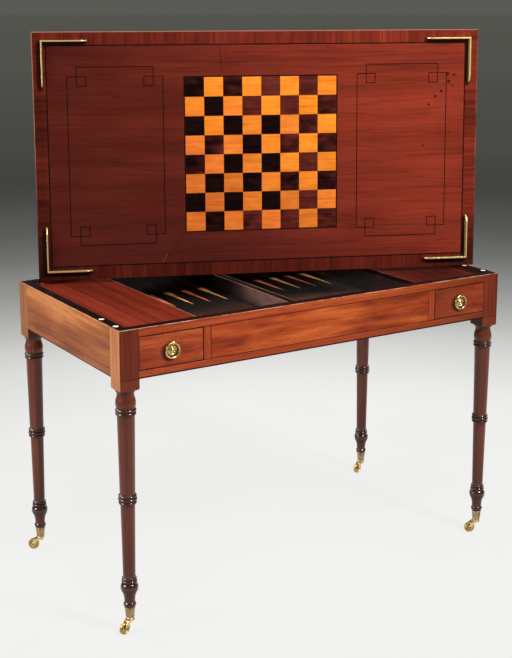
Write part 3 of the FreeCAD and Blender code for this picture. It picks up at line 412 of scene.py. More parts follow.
def boards(g, p, w, colour):
    """Narrow boards side by side, each of its own tone, with a fine joint between."""
    x, y, z = g.split(p)
    step = g.math("DIVIDE", x, 0.0445)
    own = g.dice(g.join(g.math("FLOOR", step), 3.0, 7.0))
    colour = g.dim(colour, g.span(own, 0, 1, 0.70, 1.30))
    colour = g.mix(g.math("GREATER_THAN", x, 0.0), colour,
                   g.mix(1.0, colour, (0.42, 0.48, 0.66, 1.0), "MULTIPLY"))
    gap = g.math("ABSOLUTE", g.math("SUBTRACT", g.math("FRACT", step), 0.5))
    joint = g.span(gap, 0.484, 0.496, 0.0, 0.62)
    colour = g.mix(joint, colour, rgb(28, 9, 8))
    # the inner edge is rubbed pale where hands reach into the well
    wall = g.math("MULTIPLY", g.span(g.math("ABSOLUTE", x), 0.3196, 0.3192),
                  g.span(z, 0.7046, 0.7036))
    colour = g.mix(wall, colour, rgb(26, 9, 8))
    edge = g.math("MULTIPLY", g.span(g.math("ABSOLUTE", x), 0.3216, 0.3202),
                  g.span(z, 0.7036, 0.7046))
    patchy = g.span(g.noise(g.place(p, (20, 20, 20)), detail=3), 0.3, 0.6, 0.4, 1.0)
    patchy = g.math("MULTIPLY", patchy, g.span(x, -0.3, 0.3, 0.65, 0.18))
    return g.mix(g.math("MULTIPLY", edge, patchy), colour, rgb(186, 146, 130))


deck = plank("mahogany_deck", [rgb(70, 20, 13), rgb(100, 32, 20), rgb(124, 44, 27),
                               rgb(150, 64, 40)],
             axis="y", seed=9.1, wide=60, fine=220, wander=0.012, contrast=1.3,
             gloss=(0.48, 0.62), coat=0.0, sheen=0.03, extra=boards)

# ---------------------------------------------------------------------------
# The top: mahogany field, crossbanding, squares and lines.
# ---------------------------------------------------------------------------
FIELD = [rgb(50, 15, 11), rgb(68, 22, 15), rgb(85, 29, 20), rgb(104, 39, 27)]
SPOTS = [(0.489, 0.503, 3.4), (0.505, 0.501, 2.8), (0.491, 0.484, 3.2), (0.5025, 0.472, 2.0),
         (0.4727, 0.459, 2.6), (0.456, 0.446, 3.0), (0.440, 0.425, 2.4), (0.425, 0.319, 2.2),
         (0.495, 0.352, 1.6), (-0.165, 0.332, 1.7)]


def strip_shadow(g, x, z):
    """1 in a painted shadow beside the brass strips, offset to the left and below them as if cast
    from the upper right, 0 away from them.
    """
    x, z = g.math("ADD", x, 0.0048), g.math("ADD", z, 0.0056)
    a = g.math("ABSOLUTE", x)
    b = g.math("MINIMUM", z, g.math("SUBTRACT", LID_WIDE, z))
    f = g.join(a, b, 0.0)
    d = g.math("MINIMUM", g.near(f, (0.436, 0.0223), (0.5447, 0.0223)),
               g.near(f, (0.5447, 0.0223), (0.5447, 0.131)))
    return g.span(d, 0.0040, 0.0098, 1.0, 0.0, smooth=True)


def field_wear_and_painted_light(g, p, w, colour):
    """The field is lighter and warmer towards one end, partly faded and partly painted light from
    the right; it carries a few ink spots, a short crack over the board and one running from its
    lower corner, and a painted shadow beside the brass strips."""
    x, y, z = g.split(p)
    cloud = g.noise(g.place(p, (2.6, 1, 3.4)), detail=3)
    slope = g.math("ADD", g.math("MULTIPLY", x, 1.0),
                   g.math("MULTIPLY", g.math("SUBTRACT", z, 0.308), 0.24))
    slope = g.math("ADD", slope, g.math("MULTIPLY", g.math("SUBTRACT", cloud, 0.5), 0.55))
    # painted light: lighter and warmer towards the right end and the top, together with fading
    warm = g.span(slope, -0.42, 0.48, smooth=True)
    bright = g.mix(1.0, colour, (2.78, 2.46, 1.98, 1.0), "MULTIPLY")
    colour = g.mix(warm, colour, bright)
    dull = g.math("MULTIPLY", g.span(z, 0.24, 0.02, smooth=True), g.span(x, 0.45, -0.10, 0.1, 0.34))
    colour = g.mix(dull, colour, rgb(72, 31, 31))
    # a dark wavy growth line here and there
    line = g.noise(g.place(w.q, (1.6, 70, 70)), detail=2, rough=0.4)
    line = g.span(g.math("ABSOLUTE", g.math("SUBTRACT", line, 0.5)), 0.0, 0.035, 0.34, 0.0)
    colour = g.mix(line, colour, rgb(46, 14, 12))
    flat = g.join(x, z, 0.0)
    wobble = g.vec("SCALE", g.vec("SUBTRACT", g.noise(p, 90, 2, colour=True),
                                  (0.5, 0.5, 0.5)), scale=0.005)
    loose = g.vec("ADD", flat, g.vec("MULTIPLY", wobble, (1, 1, 0)))
    for u, v, r in SPOTS:
        d = g.vec("DISTANCE", loose, (u, v, 0))
        colour = g.mix(g.span(d, r * 0.0009, r * 0.0016, 0.90, 0.0), colour, rgb(30, 9, 9))
    sway = g.vec("SCALE", g.vec("SUBTRACT", g.noise(p, 30, 3, colour=True),
                                (0.5, 0.5, 0.5)), scale=0.006)
    crack = g.vec("ADD", flat, g.vec("MULTIPLY", sway, (1, 1, 0)))
    for a, b, wide, tint, amount in (
            ((-0.1035, 0.580), (-0.1015, 0.514), 0.0011, rgb(40, 12, 10), 0.75),
            ((-0.1965, 0.112), (-0.2560, 0.033), 0.0010, rgb(44, 14, 12), 0.7),
            ((-0.2440, 0.057), (-0.2570, 0.033), 0.0008, rgb(170, 98, 64), 0.45)):
        d = g.near(crack, a, b)
        colour = g.mix(g.span(d, wide * 0.5, wide * 1.3, amount, 0.0), colour, tint)
    # a painted shadow beside the brass strips
    return g.mix(g.math("MULTIPLY", strip_shadow(g, x, z), 0.82), colour, rgb(16, 4, 4))


field = plank("mahogany_top_field", FIELD, seed=11.0, on_lid=True, wide=24, fine=130,
              wander=0.05, run=0.8, mixture=(0.45, 0.20), contrast=1.2, patch=0.40, pores=0.22,
              figure=((0, 0.35, 0), (3.5, 8, 16), 0.35), gloss=(0.26, 0.36), coat=0.06,
              sheen=0.14, wear=0.0, crease_darkening=0.0, extra=field_wear_and_painted_light)


def crossband(name, tones, seed, chess=True):
    """Veneer laid across the edge all round, pieced from short lengths and mitred."""
    g = Graph(name)
    p = g.lid()
    x, y, z = g.split(p)
    dx = g.math("SUBTRACT", LID_HALF, g.math("ABSOLUTE", x))
    dz = g.math("MINIMUM", z, g.math("SUBTRACT", LID_WIDE, z))
    side = g.math("LESS_THAN", dx, dz)
    run = g.blend(side, x, z)
    across = g.blend(side, z, x)
    run = g.math("ADD", run, g.math("MULTIPLY", side, 5.3))
    wob = g.math("MULTIPLY", g.math("SUBTRACT", g.noise(g.place(p, (9, 9, 9)), detail=2), 0.5),
                 0.02)
    piece = g.math("FLOOR", g.math("DIVIDE", g.math("ADD", run, wob), 0.128))
    own = g.dice(g.join(piece, seed, 2.0))
    r2 = g.math("ADD", run, g.math("MULTIPLY", own, 3.0))
    v = g.join(r2, across, g.math("MULTIPLY", own, 1.7))
    streak = g.noise(g.place(v, (120, 6, 1)), detail=3, rough=0.55)
    wide = g.noise(g.place(v, (30, 3, 1)), detail=2)
    fibre = g.noise(g.place(v, (820, 26, 1)), detail=2)
    tone = g.math("ADD", g.math("MULTIPLY", streak, 0.55), g.math("MULTIPLY", wide, 0.45))
    tone = g.span(tone, 0.24, 0.76)
    colour = g.ramp(tone, [(0.08, tones[0]), (0.40, tones[1]), (0.68, tones[2]),
                           (0.95, tones[3])])
    colour = g.dim(colour, g.span(own, 0, 1, 0.76, 1.24))
    if chess:
        # lighter and warmer towards the right end and the top: painted light from the right,
        # together with fading
        warm = g.span(g.math("ADD", g.math("MULTIPLY", x, 0.55), g.math("SUBTRACT", z, 0.308)),
                      -0.34, 0.36, smooth=True)
        colour = g.mix(warm, colour, g.mix(1.0, colour, (1.85, 1.62, 1.45, 1), "MULTIPLY"))
        colour = g.dim(colour, g.span(x, -0.548, -0.532, 0.76, 1.0))
    joint = g.math("ABSOLUTE", g.math("SUBTRACT", dx, dz))
    colour = g.mix(g.span(joint, 0.0002, 0.0009, 0.6, 0.0), colour, rgb(40, 13, 11))
    pore = g.span(fibre, 0.32, 0.5, 0.78, 1.0)
    colour = g.dim(colour, pore)
    # polish rubbed through along the outer edge
    rim = g.math("MINIMUM", dx, dz)
    patchy = g.span(g.noise(g.place(p, (26, 26, 26)), detail=3), 0.35, 0.65)
    rub = g.math("MULTIPLY", g.span(rim, 0.0005, 0.0030, 0.55, 0.0), patchy)
    rub = g.math("MULTIPLY", rub, g.span(z, 0.02, 0.30))
    colour = g.mix(rub, colour, rgb(156, 92, 68))
    # a pale line along the top edge and the left end: a painted highlight on these arrises
    top_edge = g.span(g.math("SUBTRACT", LID_WIDE, z), 0.0010, 0.0024, 0.55, 0.0)
    end_edge = g.math("MULTIPLY", g.span(g.math("ADD", LID_HALF, x), 0.0010, 0.0024, 0.45, 0.0),
                      g.span(z, 0.10, 0.42))
    colour = g.mix(g.math("MAXIMUM", top_edge, end_edge), colour, rgb(190, 138, 118))
    if chess:
        # a painted shadow beside the brass strips
        colour = g.mix(g.math("MULTIPLY", strip_shadow(g, x, z), 0.80), colour, rgb(16, 4, 4))
        # painted shade at both lower corners, deepest at the foot of the dark end
        corner = g.vec("DISTANCE", g.join(x, z, 0.0), (-LID_HALF, 0.0, 0.0))
        colour = g.mix(g.span(corner, 0.03, 0.20, 0.62, 0.0, smooth=True), colour, rgb(22, 7, 7))
        corner = g.vec("DISTANCE", g.join(x, z, 0.0), (LID_HALF, 0.0, 0.0))
        colour = g.mix(g.span(corner, 0.03, 0.17, 0.50, 0.0, smooth=True), colour, rgb(22, 7, 7))
    g.set(Base_Color=colour, Roughness=g.span(streak, 0.3, 0.7, 0.25, 0.38),
          Normal=g.bump(g.math("ADD", pore, streak), 0.2, 0.0003),
          Coat_Weight=0.06, Coat_Roughness=0.09, IOR=1.5, Specular_IOR_Level=0.14)
    return g.mat


band = crossband("mahogany_crossbanding", [rgb(52, 16, 12), rgb(74, 24, 16), rgb(90, 30, 20),
                                           rgb(112, 42, 27)], 4.0)
plain_band = crossband("mahogany_plain_banding", [rgb(56, 20, 14), rgb(94, 36, 24),
                                                  rgb(122, 50, 32), rgb(152, 74, 46)], 9.0, False)
plain_field = plank("mahogany_plain_field",
                    [rgb(84, 30, 20), rgb(112, 44, 28), rgb(136, 58, 36), rgb(160, 78, 48)],
                    seed=14.0, on_lid=True, wide=16, fine=120, wander=0.06, run=0.8,
                    contrast=1.2, patch=0.4, figure=((0, 0.3, 0), (3, 8, 12), 0.35),
                    wear=0.0, crease_darkening=0.0)
core = plank("mahogany_core", [rgb(58, 20, 14), rgb(88, 34, 22), rgb(112, 48, 30),
                               rgb(136, 68, 42)],
             seed=13.0, on_lid=True, wide=40, fine=200, gloss=(0.40, 0.55), coat=0.02,
             sheen=0.08, wear=0.6, worn=rgb(176, 124, 92))


def squares(name, dark):
    """Squares of veneer, each cut from another place in the sheet."""
    g = Graph(name)
    p = g.lid()
    x, y, z = g.split(p)
    i = g.math("FLOOR", g.math("DIVIDE", g.math("ADD", x, 0.194), 0.0485))
    j = g.math("FLOOR", g.math("DIVIDE", g.math("SUBTRACT", z, 0.114), 0.0485))
    own = g.dice(g.join(i, j, 1.0))
    other = g.dice(g.join(j, i, 9.0))
    v = g.join(g.math("ADD", x, g.math("MULTIPLY", own, 2.0)),
               g.math("ADD", z, g.math("MULTIPLY", other, 3.0)), own)
    streak = g.noise(g.place(v, (9, 190, 1)), detail=3, rough=0.6)
    cloud = g.noise(g.place(v, (26, 44, 1)), detail=3)
    fibre = g.noise(g.place(v, (60, 1100, 1)), detail=2)
    if dark:
        lift = g.math("ADD", g.math("MULTIPLY", own, 0.60), g.math("MULTIPLY", x, 1.45))
        lift = g.math("ADD", lift, g.math("MULTIPLY", g.math("SUBTRACT", z, 0.308), 0.45))
        lift = g.math("ADD", lift, g.math("MULTIPLY", g.math("SUBTRACT", cloud, 0.5), 0.55))
        black = g.ramp(g.math("ADD", g.math("MULTIPLY", streak, 0.7),
                              g.math("MULTIPLY", cloud, 0.3)),
                       [(0.28, rgb(8, 2, 2)), (0.5, rgb(18, 4, 4)), (0.74, rgb(34, 10, 9))])
        brown = g.ramp(g.math("ADD", g.math("MULTIPLY", streak, 0.6),
                              g.math("MULTIPLY", cloud, 0.4)),
                       [(0.28, rgb(58, 17, 14)), (0.5, rgb(86, 31, 25)), (0.74, rgb(114, 47, 38))])
        colour = g.mix(g.span(lift, 0.17, 0.61, smooth=True), black, brown)
        colour = g.dim(colour, g.span(other, 0, 1, 0.8, 1.2))
    else:
        lean = g.math("ADD", g.math("MULTIPLY", x, 0.9),
                      g.math("MULTIPLY", g.math("SUBTRACT", z, 0.308), 0.9))
        lean = g.math("ADD", g.span(lean, -0.3, 0.3), g.span(own, 0, 1, -0.35, 0.35))
        t = g.math("ADD", g.math("MULTIPLY", streak, 0.6), g.math("MULTIPLY", cloud, 0.4))
        peach = g.ramp(t, [(0.28, rgb(186, 88, 32)), (0.5, rgb(214, 110, 44)),
                           (0.74, rgb(232, 132, 58))])
        gold = g.ramp(t, [(0.28, rgb(208, 110, 26)), (0.5, rgb(236, 136, 36)),
                          (0.74, rgb(248, 156, 50))])
        colour = g.mix(g.math("ADD", lean, 0.0, clamp=True), peach, gold)
        fleck = g.cells(g.place(v, (52, 78, 1)))
        few = g.span(g.noise(g.place(v, (18, 18, 1)), detail=1), 0.58, 0.66)
        spot = g.math("MULTIPLY", g.span(fleck, 0.05, 0.13, 0.65, 0.0), few)
        colour = g.mix(spot, colour, rgb(128, 58, 20))
        colour = g.dim(colour, g.span(other, 0, 1, 0.84, 1.06))
    colour = g.dim(colour, g.span(fibre, 0.3, 0.5, 0.90 if not dark else 0.75, 1.0))
    # each joint is a dark hairline
    fi = g.math("ABSOLUTE", g.math("SUBTRACT", g.math("FRACT", g.math(
        "DIVIDE", g.math("ADD", x, 0.194), 0.0485)), 0.5))
    fj = g.math("ABSOLUTE", g.math("SUBTRACT", g.math("FRACT", g.math(
        "DIVIDE", g.math("SUBTRACT", z, 0.114), 0.0485)), 0.5))
    seam = g.span(g.math("MAXIMUM", fi, fj), 0.484, 0.498, 0.0, 0.55)
    colour = g.mix(seam, colour, rgb(70, 26, 12))
    g.set(Base_Color=colour, Roughness=g.span(streak, 0.3, 0.7, 0.26, 0.38),
          Normal=g.bump(g.math("ADD", fibre, streak), 0.15, 0.0003),
          Coat_Weight=0.03, Coat_Roughness=0.09, IOR=1.5, Specular_IOR_Level=0.10)
    return g.mat


light_squares = squares("satinwood_squares", False)
dark_squares = squares("dark_squares", True)


# ---------------------------------------------------------------------------
# Ebony, bone, inlay and drawer woods.
# ---------------------------------------------------------------------------
def ebony(name, lid=False):
    g = Graph(name)
    p = g.lid() if lid else g.coords()
    n = g.noise(g.place(p, (120, 120, 120)), detail=3)
    m = g.noise(g.place(p, (16, 16, 16)), detail=2)
    t = g.math("ADD", g.math("MULTIPLY", n, 0.5), g.math("MULTIPLY", m, 0.5))
    if lid:
        colour = g.ramp(t, [(0.3, rgb(6, 2, 2)), (0.55, rgb(14, 5, 5)), (0.75, rgb(34, 13, 11))])
    else:
        colour = g.ramp(t, [(0.3, rgb(13, 6, 5)), (0.55, rgb(28, 12, 10)), (0.75, rgb(56, 24, 18))])
    if not lid:
        x, y, z = g.split(p)
        end = g.math("MULTIPLY", g.span(g.math("ABSOLUTE", x), 0.5400, 0.5405),
                     g.span(g.math("ABSOLUTE", y), 0.2365, 0.2355))
        colour = g.mix(g.math("MULTIPLY", end, g.span(z, 0.606, 0.612, 0.35, 0.85)), colour,
                       rgb(98, 46, 24))
    g.set(Base_Color=colour, Roughness=g.span(n, 0.3, 0.7, 0.28, 0.45),
          Normal=g.bump(n, 0.12, 0.0003), Specular_IOR_Level=0.14)
    return g.mat


def ebonised(name, gloss, wear, axis="x", seed=0.0, coat=0.15, sheen=0.25, extra=None,
             relief=0.16):
    """Stained black and polished, browner where it is thin, rubbed at the edges."""
    g = Graph(name)
    p = g.coords()
    w = Grain(g, along(g, p, axis), seed, 30, 200, 0.01)
    tone = g.math("ADD", g.math("MULTIPLY", w.streaks, 0.5), g.math("MULTIPLY", w.patch, 0.5))
    colour = g.ramp(tone, [(0.30, rgb(9, 5, 5)), (0.52, rgb(19, 10, 9)), (0.72, rgb(40, 20, 16))])
    scuff = g.noise(g.place(p, (30, 240, 30), turn=(0, 0, 0.5)), detail=3, rough=0.65)
    scuff = g.span(scuff, 0.62, 0.74)
    colour = g.mix(g.math("MULTIPLY", scuff, 0.30), colour, rgb(84, 50, 40))
    if extra:
        colour = extra(g, p, colour)
    e = g.math("MULTIPLY", g.edges(0.0012),
               g.span(g.noise(g.place(p, (45, 45, 45)), detail=3), 0.38, 0.62))
    colour = g.mix(g.math("MULTIPLY", e, wear), colour, rgb(124, 70, 48))
    rough = g.math("ADD", g.span(w.streaks, 0.3, 0.7, gloss[0], gloss[1]),
                   g.math("MULTIPLY", scuff, 0.15))
    g.set(Base_Color=colour, Roughness=rough, Normal=g.bump(w.streaks, relief, 0.0004),
          Coat_Weight=coat, Coat_Roughness=0.07, Specular_IOR_Level=sheen)
    return g.mat


lid_lines = ebony("ebony_lines_top", True)
frieze_lines = ebony("ebony_lines")
capping = ebonised("ebonised_capping", (0.34, 0.50), 0.45, seed=1.5, coat=0.02, sheen=0.06)


def well_floor_sheen(g, p, colour):
    """The front of the well's floor is painted a patchy lighter brown: a painted sheen."""
    x, y, z = g.split(p)
    cloud = g.span(g.noise(g.place(p, (14, 26, 1)), detail=4, rough=0.6), 0.3, 0.7, 0.35, 1.0)
    m = g.math("MULTIPLY", g.span(y, 0.10, -0.12, smooth=True), cloud)
    # painted sheen towards the front
    return g.mix(g.math("MULTIPLY", m, 0.75), colour, rgb(112, 72, 58))


well_black = ebonised("ebonised_well", (0.36, 0.50), 0.35, axis="y", seed=3.5, coat=0.03,
                      sheen=0.20, extra=well_floor_sheen, relief=0.05)


def bar_painted_sheen(g, p, colour):
    """The sides of the bar are painted a satin brown towards the front: a painted sheen."""
    x, y, z = g.split(p)
    side = g.span(g.math("ABSOLUTE", x), 0.0102, 0.0108)
    cloud = g.span(g.noise(g.place(p, (18, 18, 40)), detail=3), 0.3, 0.7, 0.55, 1.0)
    m = g.math("MULTIPLY", g.span(y, 0.17, -0.06, smooth=True), cloud)
    m = g.math("MULTIPLY", m, g.span(z, 0.642, 0.668, 0.35, 1.0))
    colour = g.mix(g.math("MULTIPLY", side, m), colour, rgb(124, 90, 84))
    # a pale band low on the sides towards the front: a painted highlight
    low = g.math("MULTIPLY", g.span(z, 0.664, 0.648), g.span(y, 0.02, -0.14, smooth=True))
    return g.mix(g.math("MULTIPLY", g.math("MULTIPLY", side, low), 0.60), colour, rgb(206, 188, 180))


bar_black = ebonised("ebonised_bar", (0.44, 0.58), 0.5, axis="y", seed=4.5, coat=0.0, sheen=0.10,
                     extra=bar_painted_sheen)
lining_black = ebonised("ebonised_lining", (0.20, 0.34), 0.45, seed=5.5)


def bone():
    g = Graph("bone_discs")
    p = g.coords()
    n = g.noise(g.place(p, (500, 90, 90)), detail=3)
    colour = g.ramp(n, [(0.3, rgb(214, 202, 178)), (0.5, rgb(238, 232, 214)),
                        (0.7, rgb(250, 246, 234))])
    pits = g.span(g.noise(g.place(p, (900, 900, 900)), detail=2), 0.28, 0.40, 0.75, 1.0)
    g.set(Base_Color=g.dim(colour, pits), Roughness=g.span(n, 0.3, 0.7, 0.25, 0.4),
          Normal=g.bump(pits, 0.2, 0.0002), Subsurface_Weight=0.1)
    g.bsdf.inputs["Subsurface Radius"].default_value = (0.002, 0.0015, 0.001)
    return g.mat


def point(name, tones, seed, coat=0.05, sheen=0.2, gloss=(0.34, 0.48)):
    """Long inlaid points, each of its own tone, grain along the point."""
    g = Graph(name)
    p = g.coords()
    x, y, z = g.split(p)
    k = g.math("FLOOR", g.math("DIVIDE", x, 0.0508))
    far = g.math("GREATER_THAN", y, 0.0)
    own = g.dice(g.join(k, far, seed))
    v = g.join(g.math("ADD", y, own), g.math("ADD", x, own), own)
    streak = g.noise(g.place(v, (10, 330, 1)), detail=3, rough=0.6)
    cloud = g.noise(g.place(v, (24, 60, 1)), detail=2)
    t = g.math("ADD", g.math("MULTIPLY", streak, 0.6), g.math("MULTIPLY", cloud, 0.4))
    colour = g.ramp(t, [(0.28, tones[0]), (0.5, tones[1]), (0.72, tones[2])])
    colour = g.dim(colour, g.span(own, 0, 1, 0.78, 1.12))
    stain = g.span(g.noise(g.place(p, (40, 40, 40)), detail=3), 0.35, 0.55, 0.72, 1.0)
    g.set(Base_Color=g.dim(colour, stain), Roughness=g.span(streak, 0.3, 0.7, gloss[0], gloss[1]),
          Normal=g.bump(streak, 0.15, 0.0003), Coat_Weight=coat, Coat_Roughness=0.1,
          Specular_IOR_Level=sheen)
    return g.mat


bone_mat = bone()
points_light = point("boxwood_points", [rgb(240, 142, 66), rgb(255, 178, 94),
                                        rgb(255, 206, 130)], 2.0)
points_red = point("red_points", [rgb(190, 80, 52), rgb(226, 116, 82), rgb(240, 148, 112)], 6.0)
bar_line = point("boxwood_lines", [rgb(116, 78, 62), rgb(150, 108, 88), rgb(176, 136, 112)], 8.0,
                 0.0, 0.08, (0.45, 0.6))
oak = plank("oak_drawer_linings", [rgb(112, 74, 40), rgb(146, 102, 60), rgb(172, 128, 82),
                                   rgb(192, 152, 106)],
            axis="y", seed=16.0, wide=40, fine=240, pores=0.55, gloss=(0.5, 0.65), coat=0.0,
            wear=0.2, crease_darkening=0.5)
oak_bottom = plank("oak_drawer_bottoms", [rgb(120, 82, 46), rgb(152, 110, 68),
                                          rgb(178, 136, 90), rgb(196, 158, 112)],
                   axis="x", seed=17.0, wide=40, fine=240, pores=0.55, gloss=(0.5, 0.65),
                   coat=0.0, wear=0.2, crease_darkening=0.5)
deal = plank("deal_bearers", [rgb(120, 82, 46), rgb(158, 114, 68), rgb(184, 142, 92),
                              rgb(202, 166, 118)],
             axis="y", seed=18.0, wide=50, fine=160, pores=0.3, gloss=(0.55, 0.7), coat=0.0,
             wear=0.15, crease_darkening=0.6)


# ---------------------------------------------------------------------------
# Metal.
# ---------------------------------------------------------------------------
def brass(name, bright, dull, gloss, lid=False, crease_darkening=0.6, metal=1.0):
    """Old brass: polished where hands touch it, brown in the corners, finely scratched."""
    g = Graph(name)
    p = g.lid() if lid else g.coords()
    cloud = g.noise(g.place(p, (70, 70, 70)), detail=4, rough=0.6)
    fine = g.noise(g.place(p, (900, 700, 900)), detail=2)
    colour = g.ramp(cloud, [(0.32, dull), (0.58, bright)])
    ao = g.occlusion_mask(0.005, local=False)
    shade = g.span(ao, 0.25, 0.80, 1.0, 0.0)
    colour = g.mix(g.math("MULTIPLY", shade, crease_darkening), colour, rgb(58, 38, 18))
    e = g.edges(0.0008)
    colour = g.mix(g.math("MULTIPLY", e, 0.6), colour, rgb(255, 232, 176))
    rough = g.math("ADD", g.span(cloud, 0.35, 0.65, gloss[1], gloss[0]),
                   g.span(fine, 0.35, 0.65, -0.03, 0.05))
    rough = g.math("ADD", rough, g.math("MULTIPLY", shade, 0.2))
    g.set(Base_Color=colour, Metallic=metal, Roughness=rough,
          Normal=g.bump(g.math("ADD", fine, cloud), 0.05, 0.0001))
    return g.mat


def steel():
    g = Graph("steel_axles")
    p = g.coords()
    n = g.noise(g.place(p, (400, 400, 400)), detail=3)
    g.set(Base_Color=g.ramp(n, [(0.3, rgb(96, 88, 80)), (0.7, rgb(158, 154, 148))]),
          Metallic=1.0, Roughness=g.span(n, 0.3, 0.7, 0.28, 0.5), Normal=g.bump(n, 0.1, 0.0002))
    return g.mat


strip_brass = brass("brass_strips", rgb(252, 226, 158), rgb(232, 194, 118), (0.34, 0.46), True,
                    0.25, 0.85)
pull_brass = brass("brass_pulls", rgb(244, 218, 150), rgb(206, 170, 100), (0.16, 0.30))
cup_brass = brass("brass_cups", rgb(176, 152, 110), rgb(128, 106, 74), (0.32, 0.50))
horn_brass = brass("brass_horns", rgb(236, 210, 150), rgb(190, 156, 96), (0.20, 0.36))
wheel_brass = brass("brass_wheels", rgb(196, 160, 98), rgb(128, 96, 52), (0.26, 0.44))
steel_mat = steel()

# ---------------------------------------------------------------------------
# Finishes on the parts.
# ---------------------------------------------------------------------------
FINISH = {
    "end_rail_left": ends, "end_rail_right": ends, "back_rail": back_wood,
    "front_top_rail": rails, "front_bottom_rail": rails, "front_centre_panel": centre,
    "front_muntins": muntin, "frieze_stringing": frieze_lines,
    "rim_capping": capping, "rim_bone_discs": bone_mat, "end_decks": deck,
    "well_side_walls": lining_black, "well_floor": well_black,
    "well_points_light": points_light, "well_points_red": points_red,
    "well_linings": lining_black, "well_bar": bar_black, "well_bar_stringing": bar_line,
    "deck_and_floor_bearers": deal, "drawer_runners_and_guides": deal,
    "top_core": core, "top_crossbanding": band, "top_field_veneer": field,
    "top_stringing": lid_lines, "chess_squares_light": light_squares,
    "chess_squares_dark": dark_squares, "top_brass_corners": strip_brass,
    "top_plain_field": plain_field, "top_plain_banding": plain_band,
    "castor_cups": cup_brass,
}
for side, front in (("left", front_left), ("right", front_right)):
    FINISH["drawer_%s_front" % side] = front
    FINISH["drawer_%s_sides" % side] = oak
    FINISH["drawer_%s_back" % side] = oak_bottom
    FINISH["drawer_%s_bottom" % side] = oak_bottom
    for part in ("plate", "ring", "bolt"):
        FINISH["pull_%s_%s" % (side, part)] = pull_brass
for a in ("front", "back"):
    for b in ("left", "right"):
        FINISH["leg_%s_%s" % (a, b)] = legs
        for part, finish in (("horn", horn_brass), ("axle", steel_mat), ("wheel", wheel_brass)):
            FINISH["castor_%s_%s_%s" % (a, b, part)] = finish

for name, obj in N.items():
    obj.data.materials.clear()
    obj.data.materials.append(FINISH[name])

# softened arrises, so that edges catch the light
SOFT = {"end_rail_left": 0.7, "end_rail_right": 0.7, "back_rail": 0.7, "front_top_rail": 0.7,
        "front_bottom_rail": 0.7, "drawer_left_front": 0.5, "drawer_right_front": 0.5,
        "top_brass_corners": 0.5, "rim_capping": 0.4, "end_decks": 0.6, "well_bar": 0.6,
        "drawer_left_sides": 0.5, "drawer_right_sides": 0.5}
for name, width in SOFT.items():
    obj = N[name]
    weld = obj.modifiers.new("weld", "WELD")
    weld.merge_threshold = 0.00001
    soft = obj.modifiers.new("soft_edges", "BEVEL")
    soft.width = width / 1000.0
    soft.segments = 2
    soft.limit_method = "ANGLE"
    soft.angle_limit = math.radians(50)
    soft.harden_normals = True

# ---------------------------------------------------------------------------
# Floor, light and camera.
# ---------------------------------------------------------------------------
bm = bmesh.new()
bmesh.ops.create_circle(bm, cap_ends=True, segments=96, radius=60.0)
floor_mesh = bpy.data.meshes.new("floor")
bm.to_mesh(floor_mesh)
bm.free()
floor = bpy.data.objects.new("floor", floor_mesh)
scene.collection.objects.link(floor)
# a pale sweep lit through from below where the table stands, falling away to grey behind it
g = Graph("pale_floor")
reach = g.vec("DISTANCE", g.coords(), (0.12, -0.075, 0.0))
FALL = [(0.0, 0.05), (1.2, 0.05), (1.7, 0.08), (2.5, 0.10), (3.8, 0.09), (4.7, 0.09), (6.4, 0.16),
        (8.5, 0.38), (11.5, 0.53), (16.0, 0.68), (20.0, 0.78), (60.0, 0.91)]
GLOW = [(0.0, 0.80), (0.6, 0.80), (1.2, 0.790), (1.5, 0.71), (1.8, 0.608), (2.0, 0.550),
        (2.2, 0.448), (2.45, 0.345), (2.7, 0.274), (3.0, 0.199), (3.3, 0.166), (3.7, 0.102),
        (4.1, 0.077), (4.5, 0.056), (5.0, 0.042), (5.8, 0.017), (6.8, 0.006), (8.0, 0.0),
        (60.0, 0.0)]
reach = g.math("DIVIDE", reach, 60.0)
fall = g.ramp(reach, [(d / 60.0, (v, v, v * 0.985, 1)) for d, v in FALL])
glow = g.ramp(reach, [(d / 60.0, (v, v, v * 0.985, 1)) for d, v in GLOW])
soft_n = g.span(g.noise(g.place(g.coords(), (0.9, 0.9, 0.9)), detail=2), 0.3, 0.7, 0.985, 1.015)
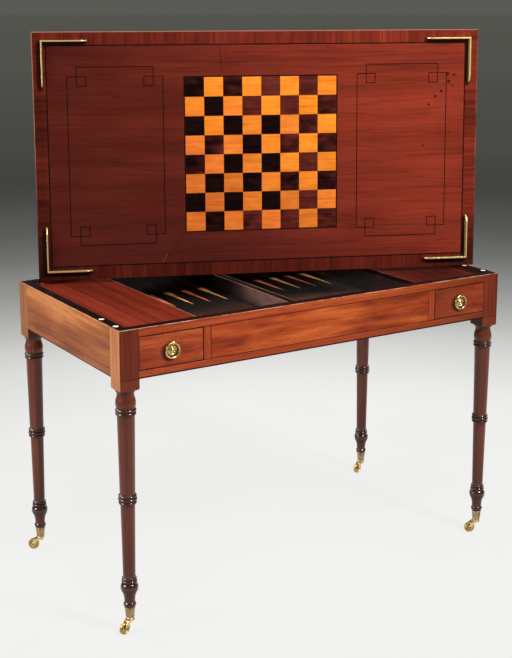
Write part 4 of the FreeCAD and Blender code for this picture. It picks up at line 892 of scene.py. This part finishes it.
g.set(Base_Color=g.dim(fall, soft_n), Emission_Color=g.dim(glow, soft_n), Emission_Strength=1.0,
      Roughness=0.8, Specular_IOR_Level=0.1)
floor_mesh.materials.append(g.mat)

world = bpy.data.worlds.new("studio")
scene.world = world
world.use_nodes = True
wt = world.node_tree
wt.nodes.clear()
w_out = wt.nodes.new("ShaderNodeOutputWorld")
w_bg = wt.nodes.new("ShaderNodeBackground")
w_bg.inputs["Color"].default_value = (0.099, 0.1015, 0.0885, 1)
w_bg.inputs["Strength"].default_value = 1.0
wt.links.new(w_bg.outputs[0], w_out.inputs[0])


def softbox(name, at, aim, size, power, tint=(1, 1, 1)):
    light = bpy.data.lights.new(name, "AREA")
    light.shape = "RECTANGLE"
    light.size, light.size_y = size
    light.energy = power
    light.color = tint
    o = bpy.data.objects.new(name, light)
    o.location = at
    o.rotation_euler = (Vector(aim) - Vector(at)).to_track_quat("-Z", "Y").to_euler()
    o.visible_camera = False
    scene.collection.objects.link(o)
    return o


softbox("key", (1.1, -2.95, 3.5), (0.0, 0.0, 0.8), (0.8, 0.8), 200, (1.0, 0.985, 0.955))
softbox("overhead", (0.1, -0.3, 4.2), (0.0, 0.0, 0.0), (3.8, 3.8), 55)
softbox("left", (-3.4, 0.3, 2.0), (0, 0, 0.6), (1.5, 1.7), 118, (1.0, 0.97, 0.92))
softbox("back", (-1.6, 3.2, 3.2), (0, 0, 0.7), (2.0, 1.6), 88, (1.0, 0.985, 0.955))
softbox("right", (3.6, 0.8, 1.9), (0, 0, 0.6), (1.4, 1.6), 26, (1.0, 0.985, 0.955))

cam = bpy.data.cameras.new("camera")
cam.sensor_width = 36.0
cam.sensor_fit = "AUTO"
cam.lens = 70.74
cam.shift_y = -0.12
cam.clip_end = 300.0
cam_obj = bpy.data.objects.new("camera", cam)
cam_obj.location = (-1.7163, -2.712, 1.4466)
cam_obj.rotation_euler = (math.radians(90 - 11.6503), 0, math.radians(-32.0562))
scene.collection.objects.link(cam_obj)
scene.camera = cam_obj
